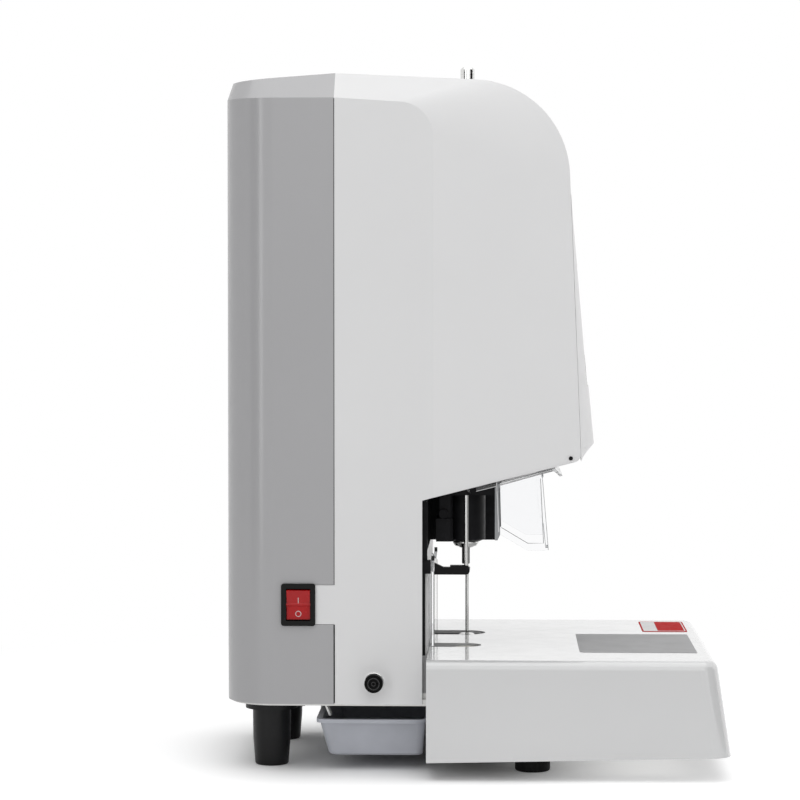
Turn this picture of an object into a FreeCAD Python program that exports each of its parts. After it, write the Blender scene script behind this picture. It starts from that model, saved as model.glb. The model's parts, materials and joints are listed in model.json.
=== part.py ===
import FreeCAD, Part
import Sketcher
import math
import os

# Two-station document binding machine: a column with an overhanging head stands
# behind a low work table.  The near station drills the sheets, the far station
# closes a plastic tube rivet in the hole.  Millimetres, +X towards the operator,
# -Y towards the switch side, +Z up, floor at Z = 0.

SIZES = {
    # covers of the column and the head
    "seam_x": -106.0,
    "rear_depth": 83.0,
    "column_depth": 66.0,
    "cover_bottom": 51.0,
    "cover_wall": 2.5,
    "half_width": 100.0,
    "shoulder_inset": 20.0,
    "ridge_seam": 525.2,
    "ridge_rear_fall": 6.6,
    "ridge_front_fall": 8.1,
    "side_rear_fall": 19.7,
    "side_front_fall": 24.4,
    "rear_corner_radius": 37.0,
    "rear_bevel_inset": 5.0,
    "roof_margin": 5.0,
    "side_panel_reach": 7.9,
    "side_panel_radius": 26.0,
    "head_reach_top": 107.8,
    "head_reach_bottom": 119.4,
    "head_lip_reach": 102.5,
    "head_top_radius": 74.0,
    "head_rear_z": 204.4,
    "head_front_z": 232.1,
    "nose_corner_radius": 6.0,
    "side_foot_radius": 4.0,
    "nose_screw_inset": 7.8,
    "nose_screw_rise": 3.2,
    "nose_screw_radius": 1.6,
    "throat_depth": 62.0,
    "throat_half_width": 74.5,
    "notch_depth": 14.5,
    "notch_bottom": 111.0,
    "notch_height": 30.0,
    "notch_gap": 0.3,
    "vent_count": 7.0,
    "vent_pitch": 11.0,
    "vent_length": 70.0,
    "vent_height": 4.0,
    "vent_bottom": 330.0,
    # curved front panel with display and keys
    "panel_half_width": 79.0,
    "panel_top": 434.0,
    "panel_bottom": 243.5,
    "panel_foot": 233.0,
    "panel_bulge_top": 1.6,
    "panel_bulge_bottom": 12.5,
    "panel_bulge_foot": 2.3,
    "panel_seat_gap": 0.2,
    "bezel_half_width": 36.0,
    "bezel_bottom": 288.0,
    "bezel_height": 92.0,
    "bezel_corner_radius": 4.0,
    "bezel_sink": 0.8,
    "bezel_thickness": 2.4,
    "display_half_width": 26.0,
    "display_bottom": 330.0,
    "display_height": 38.0,
    "display_corner_radius": 2.0,
    "display_sink": 1.3,
    "display_thickness": 1.2,
    "key_count": 3.0,
    "key_radius": 6.0,
    "key_pitch": 21.0,
    "key_height": 306.0,
    "key_length": 9.0,
    "key_sink": 0.3,
    "key_edge_radius": 0.9,
    "key_gap": 0.3,
    "board_thickness": 1.6,
    # base
    "base_bottom": 49.5,
    "base_thickness": 5.0,
    "base_gap": 0.5,
    "base_front_gap": 0.4,
    # work table
    "table_gap": 4.0,
    "table_half_width": 140.0,
    "table_top": 89.0,
    "table_length_top": 214.0,
    "table_length_bottom": 225.0,
    "table_bottom_rear": 13.5,
    "table_bottom_front": 18.3,
    "table_wall": 2.5,
    "table_edge_radius": 7.0,
    "table_corner_radius": 14.0,
    "near_slot_width": 24.0,
    "far_slot_width": 29.0,
    "table_frame_thickness": 4.0,
    "table_frame_bottom": 14.0,
    "table_frame_side_gap": 28.0,
    "table_frame_setback": 19.5,
    "table_frame_lip": 30.0,
    # feet
    "rear_foot_x": -156.0,
    "rear_foot_y": 63.0,
    "rear_foot_top_radius": 14.6,
    "rear_foot_break_radius": 14.3,
    "rear_foot_break": 20.7,
    "rear_foot_bottom_radius": 12.7,
    "rear_foot_flange_radius": 20.0,
    "rear_foot_flange_height": 5.9,
    "foot_edge_radius": 2.0,
    "table_foot_x": 43.0,
    "table_foot_y": 87.0,
    "table_foot_radius": 13.3,
    # column frame and plates
    "web_thickness": 4.0,
    "web_setback": 4.0,
    "web_half_width": 86.0,
    "roof_room": 85.2,
    "flange_depth": 18.0,
    "flange_thickness": 3.0,
    "front_plate_thickness": 4.6,
    "front_plate_half_width": 92.0,
    "front_plate_bottom": 87.0,
    "top_plate_thickness": 6.0,
    "top_plate_front": 14.0,
    "top_plate_rear": -58.0,
    "top_plate_half_width": 64.0,
    "head_plate_bottom": 206.5,
    "head_plate_thickness": 8.0,
    "head_plate_front": 15.0,
    "head_plate_half_width": 70.0,
    "head_web_thickness": 10.0,
    "head_web_bottom": 167.2,
    # stations
    "station_x": -8.0,
    "station_y": 41.0,
    "sleeve_radius": 15.0,
    "sleeve_bottom": 169.5,
    "sleeve_bore_radius": 7.0,
    "sleeve_gap": 0.4,
    "boss_half_width": 21.0,
    "boss_neck_half_width": 17.0,
    "boss_rear": -30.5,
    "boss_neck_rear": -28.0,
    "boss_front": -17.4,
    "boss_corner_radius": 4.0,
    "boss_bottom": 170.5,
    "boss_step": 188.0,
    "boss_screw_x": -24.8,
    "boss_screw_z": 191.5,
    "boss_screw_seat": 3.4,
    "carriage_room": 95.0,
    "carriage_height": 20.0,
    "carriage_rear": -43.0,
    "carriage_front": 13.0,
    "carriage_half_width": 24.0,
    "shaft_x": -33.0,
    "shaft_spread": 16.5,
    "shaft_radius": 4.0,
    "shaft_seat": 2.0,
    "slide_gap": 0.08,
    "screw_radius": 4.0,
    "screw_core_radius": 3.2,
    "screw_gap": 0.3,
    "nut_radius": 5.6,
    "nut_flange_radius": 8.4,
    "nut_flange_thickness": 4.0,
    "bearing_radius": 8.0,
    "bearing_height": 5.0,
    "lift_motor_side": 35.2,
    "lift_motor_height": 34.0,
    "lift_motor_corner": 4.0,
    # drill
    "dome_radius": 10.0,
    "dome_drop": 4.6,
    "dome_belly_radius": 8.4,
    "dome_belly_rise": 1.5,
    "sleeve_bevel": 4.0,
    "sleeve_bevel_rise": 1.6,
    "dome_gap": 0.4,
    "nose_radius": 5.0,
    "bit_radius": 3.0,
    "bit_bore_radius": 2.2,
    "bit_tip": 151.9,
    "bit_shank": 22.0,
    "spindle_radius": 5.0,
    "spindle_gap": 0.5,
    "drill_motor_radius": 18.0,
    "drill_motor_height": 58.0,
    # rivet head
    "rivet_bore_radius": 2.8,
    "rivet_tube_radius": 4.0,
    "rivet_tube_gap": 5.0,
    "feed_tube_radius": 5.6,
    "feed_flange_radius": 7.0,
    "feed_gap": 0.3,
    "inlet_radius": 5.6,
    "inlet_rise": 14.0,
    "inlet_chamfer": 1.6,
    "inlet_flange_radius": 9.0,
    "inlet_sink": 20.2,
    "inlet_hole_gap": 0.4,
    # lower tools under the table
    "pad_holder_radius": 11.0,
    "pad_holder_top": 84.0,
    "pad_radius": 8.5,
    "pad_bottom": 79.0,
    "pad_top": 87.4,
    "pad_gap": 0.3,
    "post_radius": 12.0,
    "post_top": 80.0,
    "post_bore_radius": 6.0,
    "post_roof": 4.0,
    "lower_die_radius": 7.0,
    "lower_die_top": 88.4,
    "needle_radius": 1.4,
    "needle_top": 150.0,
    "needle_gap": 0.35,
    "carrier_radius": 5.6,
    "carrier_bottom": 60.0,
    "carrier_height": 8.0,
    # presser
    "rail_width": 6.0,
    "rail_top": 203.0,
    "collar_wall": 2.6,
    "collar_bottom": 149.0,
    "collar_height": 10.0,
    "block_gap": 0.3,
    "bar_rear": -19.7,
    "bar_front": -4.9,
    "bar_bottom": 145.5,
    "bar_thickness": 6.9,
    "bar_half_length": 23.5,
    "bar_nose_radius": 2.6,
    "arm_rear": -31.7,
    "arm_break": -24.8,
    "arm_height": 8.8,
    "arm_break_height": 5.6,
    "arm_width": 6.4,
    "rod_seat": 2.0,
    "fork_radius": 4.6,
    "rod_x": -7.5,
    "rod_spread": 19.0,
    "rod_radius": 1.6,
    "rod_gap": 0.3,
    "yoke_bottom": 272.0,
    "yoke_thickness": 7.0,
    "yoke_gap": 1.2,
    # clear backstop
    "backstop_front": -32.1,
    "backstop_half_width": 51.0,
    "backstop_thickness": 2.0,
    "backstop_top": 154.3,
    "backstop_corner_x": 6.1,
    "backstop_corner_z": 7.7,
    "backstop_foot_gap": 0.3,
    # clear finger guard
    "guard_pivot_x": -2.3,
    "guard_pivot_z": 210.6,
    "guard_half_width": 74.0,
    "guard_thickness": 2.0,
    "guard_arm_height": 4.4,
    "guard_side_rear": 18.4,
    "guard_side_front": 50.0,
    "guard_bottom_rear": 177.0,
    "guard_bottom": 165.0,
    "guard_front_foot": 55.0,
    "guard_bottom_break": 39.0,
    "guard_drop": 4.2,
    "guard_lip_x": 60.0,
    "guard_lip_drop": 5.5,
    "guard_pin_radius": 2.0,
    "guard_pin_head_radius": 2.6,
    "guard_pin_gap": 0.08,
    "guard_pin_depth": 4.0,
    "guard_pin_room": 0.6,
    # chip tray
    "tray_rear": -120.0,
    "tray_front": -36.8,
    "tray_front_share": 0.35,
    "tray_half_width": 98.0,
    "tray_rim_top": 39.2,
    "tray_bottom": 10.7,
    "tray_wall": 1.5,
    "tray_taper": 5.5,
    "tray_rim_width": 2.8,
    "tray_rim_height": 2.8,
    "tray_corner_radius": 6.0,
    "tray_floor_radius": 4.0,
    "rail_lip": 1.8,
    "tray_rail_wall": 1.5,
    "tray_rail_half_length": 84.0,
    "tray_hook_start": -10.0,
    "tray_guide_top": 5.2,
    "tray_guide_foot": 9.1,
    "tray_guide_length": 14.0,
    "tray_play": 0.4,
    # switch, fuse, inlet
    "switch_x": -133.0,
    "switch_z": 126.0,
    "switch_bezel_width": 25.7,
    "switch_bezel_height": 31.8,
    "switch_bezel_proud": 2.0,
    "switch_body_width": 21.4,
    "switch_body_height": 27.0,
    "switch_body_depth": 20.0,
    "rocker_width": 17.6,
    "rocker_reach": 11.4,
    "rocker_depth": 6.0,
    "rocker_pivot_depth": 3.0,
    "rocker_tilt": 8.0,
    "rocker_crest": 2.1,
    "rocker_dip": 0.6,
    "rocker_well": 12.0,
    "rocker_pin_radius": 1.4,
    "rocker_pin_reach": 0.9,
    "rocker_pin_gap": 0.05,
    "rocker_gap": 0.35,
    "fuse_x": -76.0,
    "fuse_z": 68.0,
    "fuse_ring_radius": 7.35,
    "fuse_ring_height": 2.6,
    "fuse_edge_radius": 0.8,
    "fuse_stem_length": 7.8,
    "fuse_slot_half_length": 4.0,
    "fuse_slot_half_width": 0.5,
    "fuse_slot_depth": 2.0,
    "fuse_body_radius": 5.8,
    "fuse_body_depth": 24.0,
    "fuse_cap_radius": 6.9,
    "fuse_cap_height": 9.2,
    "fuse_cap_bore": 4.4,
    "inlet_y": 36.0,
    "inlet_z": 92.0,
    "socket_flange_width": 48.0,
    "socket_flange_height": 22.6,
    "socket_flange_thickness": 2.4,
    "socket_body_width": 27.0,
    "socket_body_height": 19.6,
    "socket_body_depth": 21.0,
    "socket_recess_width": 23.8,
    "socket_recess_height": 16.2,
    "socket_recess_depth": 16.0,
    "socket_pin_length": 11.0,
    "socket_pin_width": 2.0,
    "socket_pin_height": 4.0,
    "socket_pin_pitch": 7.0,
    "panel_cut_gap": 0.3,
    # electrics inside the column
    "supply_length": 76.0,
    "supply_half_width": 52.0,
    "supply_height": 92.0,
    "supply_rear": -168.0,
    "main_board_bottom": 230.0,
    "main_board_height": 150.0,
    "main_board_half_width": 68.0,
    "standoff_length": 8.0,
    "standoff_radius": 3.0,
    # chip chute
    "chute_depth": 20.0,
    "chute_width": 34.0,
    "chute_wall": 1.2,
    "chute_top": 222.0,
    # fasteners
    "bolt_head_radius": 3.6,
    "bolt_head_height": 2.4,
}

doc = FreeCAD.newDocument("BindingMachine")
sheet = doc.addObject("Spreadsheet::Sheet", "Sizes")
for row, (alias, number) in enumerate(SIZES.items(), 1):
    sheet.set("A%d" % row, alias.replace("_", " "))
    sheet.set("B%d" % row, str(number))
    sheet.setAlias("B%d" % row, alias)
doc.recompute()


class Dim:
    """A length that carries its number and the spreadsheet formula behind it."""

    def __init__(self, value, formula):
        self.value = value
        self.formula = formula

    def __add__(self, other):
        return Dim(self.value + number_of(other), "(%s + %s)" % (self.formula, formula_of(other)))

    def __sub__(self, other):
        return Dim(self.value - number_of(other), "(%s - %s)" % (self.formula, formula_of(other)))

    def __rsub__(self, other):
        return Dim(number_of(other) - self.value, "(%s - %s)" % (formula_of(other), self.formula))

    def __mul__(self, other):
        return Dim(self.value * number_of(other), "(%s * %s)" % (self.formula, formula_of(other)))

    def __truediv__(self, other):
        return Dim(self.value / number_of(other), "(%s / %s)" % (self.formula, formula_of(other)))

    def __neg__(self):
        return Dim(-self.value, "(-1 * %s)" % self.formula)

    __radd__ = __add__
    __rmul__ = __mul__


def number_of(item):
    return item.value if isinstance(item, Dim) else float(item)


def formula_of(item):
    return item.formula if isinstance(item, Dim) else "(%r)" % float(item)


class Table:
    """Gives each named size of the sheet as a Dim."""

    def __getattr__(self, alias):
        return Dim(float(sheet.get(alias)), "Sizes." + alias)


s = Table()
CUT_OVERRUN = 1.0      # how far a cutting tool runs past the face it opens
FLOOR_STEPS = 3        # flats that make up the rounded foot of the tray wall
STATIONS = ((-1, "drill"), (1, "rivet"))
SUBPARTS = []


# ---------------------------------------------------------------- helpers

def bind(item, path, length):
    """Ties one property of an object to the sheet."""
    item.setExpression(path, formula_of(length))


def place(item, x=0, y=0, z=0, rotation=None):
    """Gives an object its Placement, the base tied to the sheet."""
    if rotation is not None:
        item.Placement = FreeCAD.Placement(FreeCAD.Vector(), rotation)
    bind(item, "Placement.Base.x", x)
    bind(item, "Placement.Base.y", y)
    bind(item, "Placement.Base.z", z)
    return item


def finish(item, label):
    """Marks an object as a finished sub-part under its node name."""
    item.Label = label
    SUBPARTS.append(item)
    return item


def new_body(name):
    return doc.addObject("PartDesign::Body", name)


def add_arc(sketch, corner, before, after, radius):
    """Rounds the corner between two outline lines, tangent to both."""
    back = (before - corner).normalize()
    ahead = (after - corner).normalize()
    half = back.getAngle(ahead) / 2
    middle = corner + (back + ahead).normalize() * (radius / math.sin(half))
    start = corner + back * (radius / math.tan(half))
    end = corner + ahead * (radius / math.tan(half))
    crown = middle + (corner - middle).normalize() * radius
    clockwise = (start - middle).cross(end - middle).z < 0
    first, last = (end, start) if clockwise else (start, end)
    arc = sketch.addGeometry(Part.Arc(first, crown, last), False)
    return arc, start, end, (2, 1) if clockwise else (1, 2)


def draw_polygon(sketch, corners):
    """Closed outline through (x, y) or (x, y, radius) corners, every size bound."""
    count = len(corners)
    points = [FreeCAD.Vector(number_of(c[0]), number_of(c[1]), 0) for c in corners]
    rounds = []
    for index, corner in enumerate(corners):
        if len(corner) > 2:
            nearby = points[index - 1], points[(index + 1) % count]
            rounds.append(add_arc(sketch, points[index], *nearby, number_of(corner[2])))
        else:
            rounds.append((None, points[index], points[index], None))
    lines = []
    for index in range(count):
        segment = Part.LineSegment(rounds[index][2], rounds[(index + 1) % count][1])
        lines.append(sketch.addGeometry(segment, False))
    for index, corner in enumerate(corners):
        before, after = lines[index - 1], lines[index]
        arc, _, _, ends = rounds[index]
        if arc is None:
            sketch.addConstraint(Sketcher.Constraint("Coincident", before, 2, after, 1))
            anchor = after
        else:
            anchor = sketch.addGeometry(Part.Point(points[index]), True)
            sketch.addConstraint(Sketcher.Constraint("Tangent", before, 2, arc, ends[0]))
            sketch.addConstraint(Sketcher.Constraint("Tangent", arc, ends[1], after, 1))
            sketch.addConstraint(Sketcher.Constraint("PointOnObject", anchor, 1, before))
            sketch.addConstraint(Sketcher.Constraint("PointOnObject", anchor, 1, after))
            add_size(sketch, ("Radius", arc), corner[2])
        add_size(sketch, ("DistanceX", anchor, 1), corner[0])
        add_size(sketch, ("DistanceY", anchor, 1), corner[1])


def add_size(sketch, target, length):
    """Adds a dimension to a sketch and ties it to the sheet."""
    index = sketch.addConstraint(Sketcher.Constraint(*target, number_of(length)))
    bind(sketch, "Constraints[%d]" % index, length)


def draw_circle(sketch, x, y, radius):
    centre = FreeCAD.Vector(number_of(x), number_of(y), 0)
    circle = Part.Circle(centre, FreeCAD.Vector(0, 0, 1), number_of(radius))
    index = sketch.addGeometry(circle, False)
    add_size(sketch, ("DistanceX", index, 3), x)
    add_size(sketch, ("DistanceY", index, 3), y)
    add_size(sketch, ("Radius", index), radius)


def draw_bow(sketch, flat_x, bow_x, half_width):
    """A flat chord across Y with a shallow arc bulging in front of it."""
    left = FreeCAD.Vector(number_of(flat_x), -number_of(half_width), 0)
    right = FreeCAD.Vector(number_of(flat_x), number_of(half_width), 0)
    crown = FreeCAD.Vector(number_of(bow_x), 0, 0)
    chord = sketch.addGeometry(Part.LineSegment(right, left), False)
    arc = sketch.addGeometry(Part.Arc(left, crown, right), False)
    top = sketch.addGeometry(Part.Point(crown), True)
    sketch.addConstraint(Sketcher.Constraint("Coincident", chord, 2, arc, 1))
    sketch.addConstraint(Sketcher.Constraint("Coincident", arc, 2, chord, 1))
    sketch.addConstraint(Sketcher.Constraint("PointOnObject", top, 1, arc))
    sketch.addConstraint(Sketcher.Constraint("PointOnObject", top, 1, -1))
    add_size(sketch, ("DistanceX", top, 1), bow_x)
    for end, side in ((1, 1), (2, -1)):
        add_size(sketch, ("DistanceX", chord, end), flat_x)
        add_size(sketch, ("DistanceY", chord, end), half_width * side)


def new_sketch(body, plane, level):
    """A sketch on an origin plane of its body, at a level along the global axis."""
    sketch = body.newObject("Sketcher::SketchObject", body.Name + "_sketch")
    support = [feature for feature in body.Origin.OriginFeatures if feature.Role == plane][0]
    sketch.AttachmentSupport = [(support, "")]
    sketch.MapMode = "FlatFace"
    bind(sketch, "AttachmentOffset.Base.z", -level if plane == "XZ_Plane" else level)
    return sketch


def as_dim(item):
    return item if isinstance(item, Dim) else Dim(float(item), "(%r)" % float(item))


def fill_sketch(sketch, outlines):
    """Draws polygons, given as lists, and circles, given as (x, y, radius) tuples."""
    for outline in outlines:
        if isinstance(outline, tuple):
            draw_circle(sketch, *outline)
        else:
            draw_polygon(sketch, outline)


def extrude(body, plane, outlines, start, length, cut=False):
    """Pads or pockets outlines from a level, towards the positive global axis."""
    sketch = new_sketch(body, plane, as_dim(start))
    fill_sketch(sketch, outlines)
    kind = "PartDesign::Pocket" if cut else "PartDesign::Pad"
    before = body.Shape.Volume if cut else 0.0
    feature = body.newObject(kind, body.Name + ("_pocket" if cut else "_pad"))
    feature.Profile = sketch
    feature.Reversed = (plane == "XZ_Plane") != cut
    bind(feature, "Length", length)
    doc.recompute()
    if cut and body.Shape.Volume > before - 1e-6:
        raise RuntimeError("pocket cut nothing in " + body.Name)
    return feature


def loft(body, plane, levels, sections, cut=False):
    """A ruled loft through one outline per level."""
    sketches = []
    for level, section in zip(levels, sections):
        sketch = new_sketch(body, plane, as_dim(level))
        if callable(section):
            section(sketch)
        else:
            draw_polygon(sketch, section)
        sketches.append(sketch)
    kind = "PartDesign::SubtractiveLoft" if cut else "PartDesign::AdditiveLoft"
    feature = body.newObject(kind, body.Name + "_loft")
    feature.Profile = sketches[0]
    feature.Sections = sketches[1:]
    feature.Ruled = True
    doc.recompute()
    return feature


def turn(body, profile):
    """Revolves (radius, height) corners about the body's Z axis."""
    sketch = new_sketch(body, "XZ_Plane", as_dim(0))
    draw_polygon(sketch, profile)
    feature = body.newObject("PartDesign::Revolution", body.Name + "_turning")
    feature.Profile = sketch
    feature.ReferenceAxis = (sketch, ["V_Axis"])
    feature.Angle = 360
    doc.recompute()
    return feature


def round_edges(body, radius, test):
    """Fillets every edge of the body whose bounding box passes the test."""
    base = body.Tip
    names = ["Edge%d" % index for index, edge in enumerate(base.Shape.Edges, 1) if test(edge.BoundBox)]
    if not names:
        raise RuntimeError("no edge to round in " + body.Name)
    feature = body.newObject("PartDesign::Fillet", body.Name + "_round")
    feature.Base = (base, names)
    bind(feature, "Radius", radius)
    doc.recompute()
    return feature


def hollow(body, wall, open_test):
    """Shells the body inwards and leaves the faces that pass the test open."""
    base = body.Tip
    names = ["Face%d" % index for index, face in enumerate(base.Shape.Faces, 1) if open_test(face.BoundBox)]
    feature = body.newObject("PartDesign::Thickness", body.Name + "_shell")
    feature.Base = (base, names)
    feature.Reversed = True
    feature.Join = "Intersection"
    bind(feature, "Value", wall)
    doc.recompute()
    return feature


def rectangle(x0, y0, x1, y1, radius=None):
    corners = [(x0, y0), (x1, y0), (x1, y1), (x0, y1)]
    if radius is None:
        return corners
    return [(x, y, radius) for x, y in corners]


def box(name, x0, x1, y0, y1, z0, z1):
    """A Part box between two corners."""
    item = doc.addObject("Part::Box", name)
    bind(item, "Length", as_dim(x1) - x0)
    bind(item, "Width", as_dim(y1) - y0)
    bind(item, "Height", as_dim(z1) - z0)
    return place(item, x0, y0, z0)


AXIS_TURNS = {
    "Z": FreeCAD.Rotation(),
    "X": FreeCAD.Rotation(FreeCAD.Vector(0, 1, 0), 90),
    "Y": FreeCAD.Rotation(FreeCAD.Vector(1, 0, 0), -90),
}


def rod(name, axis, x, y, z, radius, length):
    """A Part cylinder from a point towards the positive end of an axis."""
    item = doc.addObject("Part::Cylinder", name)
    bind(item, "Radius", radius)
    bind(item, "Height", length)
    return place(item, x, y, z, AXIS_TURNS[axis])


def fuse(name, items):
    item = doc.addObject("Part::MultiFuse", name)
    item.Shapes = items
    return item


def common(name, items):
    item = doc.addObject("Part::MultiCommon", name)
    item.Shapes = items
    return item


def cut(name, base, tools):
    item = doc.addObject("Part::Cut", name)
    item.Base = base
    item.Tool = tools[0] if len(tools) == 1 else fuse(name + "_tools", tools)
    return item


def group(name, items):
    item = doc.addObject("Part::Compound", name)
    item.Links = items
    return item


# ------------------------------------------------- levels shared by sub-parts

rear_x = s.seam_x - s.rear_depth
column_front = s.seam_x + s.column_depth
shoulder_y = s.half_width - s.shoulder_inset
under_slope = (s.head_front_z - s.head_rear_z) / s.head_lip_reach
lip_x = column_front + s.head_lip_reach
side_front = column_front + s.side_panel_reach
nose_top_x = column_front + s.head_reach_top
nose_bottom_x = column_front + s.head_reach_bottom
ridge_rear = s.ridge_seam - s.ridge_rear_fall
ridge_front = s.ridge_seam - s.ridge_front_fall
side_top_rear = s.ridge_seam - s.side_rear_fall
side_top_front = s.ridge_seam - s.side_front_fall
inlet_seat = s.ridge_seam - s.inlet_sink
inlet_top = s.ridge_seam + s.inlet_rise
rivet_tube_top = inlet_seat - s.rivet_tube_gap
nose_screw_x = nose_bottom_x - s.nose_screw_inset
nose_screw_z = s.head_front_z + s.nose_screw_rise
web_top = s.ridge_seam - s.roof_room
carriage_bottom = web_top - s.carriage_room
base_top = s.base_bottom + s.base_thickness
base_front = column_front + s.table_gap - s.base_front_gap
table_rear = column_front + s.table_gap
web_front = column_front - s.web_setback
web_rear = web_front - s.web_thickness
plate_rear = column_front - (s.front_plate_thickness - s.table_gap + s.base_front_gap)
plate_front = plate_rear + s.front_plate_thickness
head_plate_top = s.head_plate_bottom + s.head_plate_thickness
top_plate_top = web_top + s.top_plate_thickness
carriage_top = carriage_bottom + s.carriage_height
table_frame_top = s.table_frame_bottom + s.table_frame_thickness
table_frame_rear = base_front + s.base_front_gap + s.table_wall
nose_lean = (nose_bottom_x - nose_top_x) / (ridge_front - s.head_front_z)


def underside_at(x):
    """Height of the head's underside above a place along X."""
    return s.head_rear_z + under_slope * (x - column_front)


def nose_at(z):
    """Front face of the head cover at a height."""
    return nose_bottom_x - nose_lean * (z - s.head_front_z)


def bulge_at(z):
    """How far the front panel's crown stands in front of the cover at a height."""
    share = (s.panel_top - z) / (s.panel_top - s.panel_bottom)
    return s.panel_bulge_top + (s.panel_bulge_bottom - s.panel_bulge_top) * share


def crown_at(z):
    """Crown of the front panel at a height."""
    return nose_at(z) + bulge_at(z)


# ---------------------------------------------------------------- covers

def rear_form(name, inset, start, end):
    """Outer or inner form of the rear cover: a bevel runs round its corners below a sloping roof."""
    body = new_body(name)
    floor = s.cover_bottom - (CUT_OVERRUN if inset is s.cover_wall else 0)
    crease = side_top_rear - inset
    peak = s.ridge_seam - inset
    share = (s.side_rear_fall + CUT_OVERRUN) / s.side_rear_fall

    def plan(side_in, rear_in):
        edge = s.half_width - inset - side_in
        back = start + rear_in
        radius = s.rear_corner_radius - inset - rear_in
        return [(back, -edge, radius), (end, -edge), (end, edge), (back, edge, radius)]

    wall = plan(as_dim(0), as_dim(0))
    extrude(body, "XY_Plane", [wall], floor, crease - floor)
    brow = plan(s.shoulder_inset * share, s.rear_bevel_inset * share)
    loft(body, "XY_Plane", [crease, peak + CUT_OVERRUN], [wall, brow])
    behind = start - s.roof_margin
    ahead = end + s.roof_margin
    slope = s.ridge_rear_fall / (s.seam_x - rear_x)
    roof = [
        (behind, floor - s.roof_margin), (ahead, floor - s.roof_margin),
        (ahead, peak + slope * (ahead - s.seam_x)), (behind, peak - slope * (s.seam_x - behind)),
    ]
    block = new_body(name + "_block")
    reach = s.half_width + s.roof_margin
    extrude(block, "XZ_Plane", [roof], -reach, reach * 2)
    return common(name + "_form", [body, block])


def rear_cover():
    """Grey sheet cover at the back, with louvres and cut-outs for switch and socket."""
    outer = rear_form("rear_outer", as_dim(0), rear_x, s.seam_x)
    inner = rear_form("rear_inner", s.cover_wall, rear_x + s.cover_wall, s.seam_x + CUT_OVERRUN)
    side = -s.half_width - CUT_OVERRUN
    depth = s.cover_wall + 2 * CUT_OVERRUN
    notch = box("rear_notch", s.seam_x - s.notch_depth, s.seam_x + CUT_OVERRUN, side, side + depth,
                s.notch_bottom, s.notch_bottom + s.notch_height)
    half_w = s.switch_body_width / 2 + s.panel_cut_gap
    half_h = s.switch_body_height / 2 + s.panel_cut_gap
    switch = box("rear_switch_cut", s.switch_x - half_w, s.switch_x + half_w, side, side + depth,
                 s.switch_z - half_h, s.switch_z + half_h)
    half_w = s.socket_body_width / 2 + s.panel_cut_gap
    half_h = s.socket_body_height / 2 + s.panel_cut_gap
    back = rear_x - CUT_OVERRUN
    socket = box("rear_socket_cut", back, back + depth, s.inlet_y - half_w, s.inlet_y + half_w,
                 s.inlet_z - half_h, s.inlet_z + half_h)
    vents = []
    for index in range(int(s.vent_count.value)):
        low = s.vent_bottom + s.vent_pitch * index
        vents.append(box("rear_vent", back, back + depth, -s.vent_length / 2, s.vent_length / 2,
                         low, low + s.vent_height))
    finish(cut("rear_cover_shape", outer, [inner, notch, switch, socket] + vents), "rear_cover")


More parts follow.
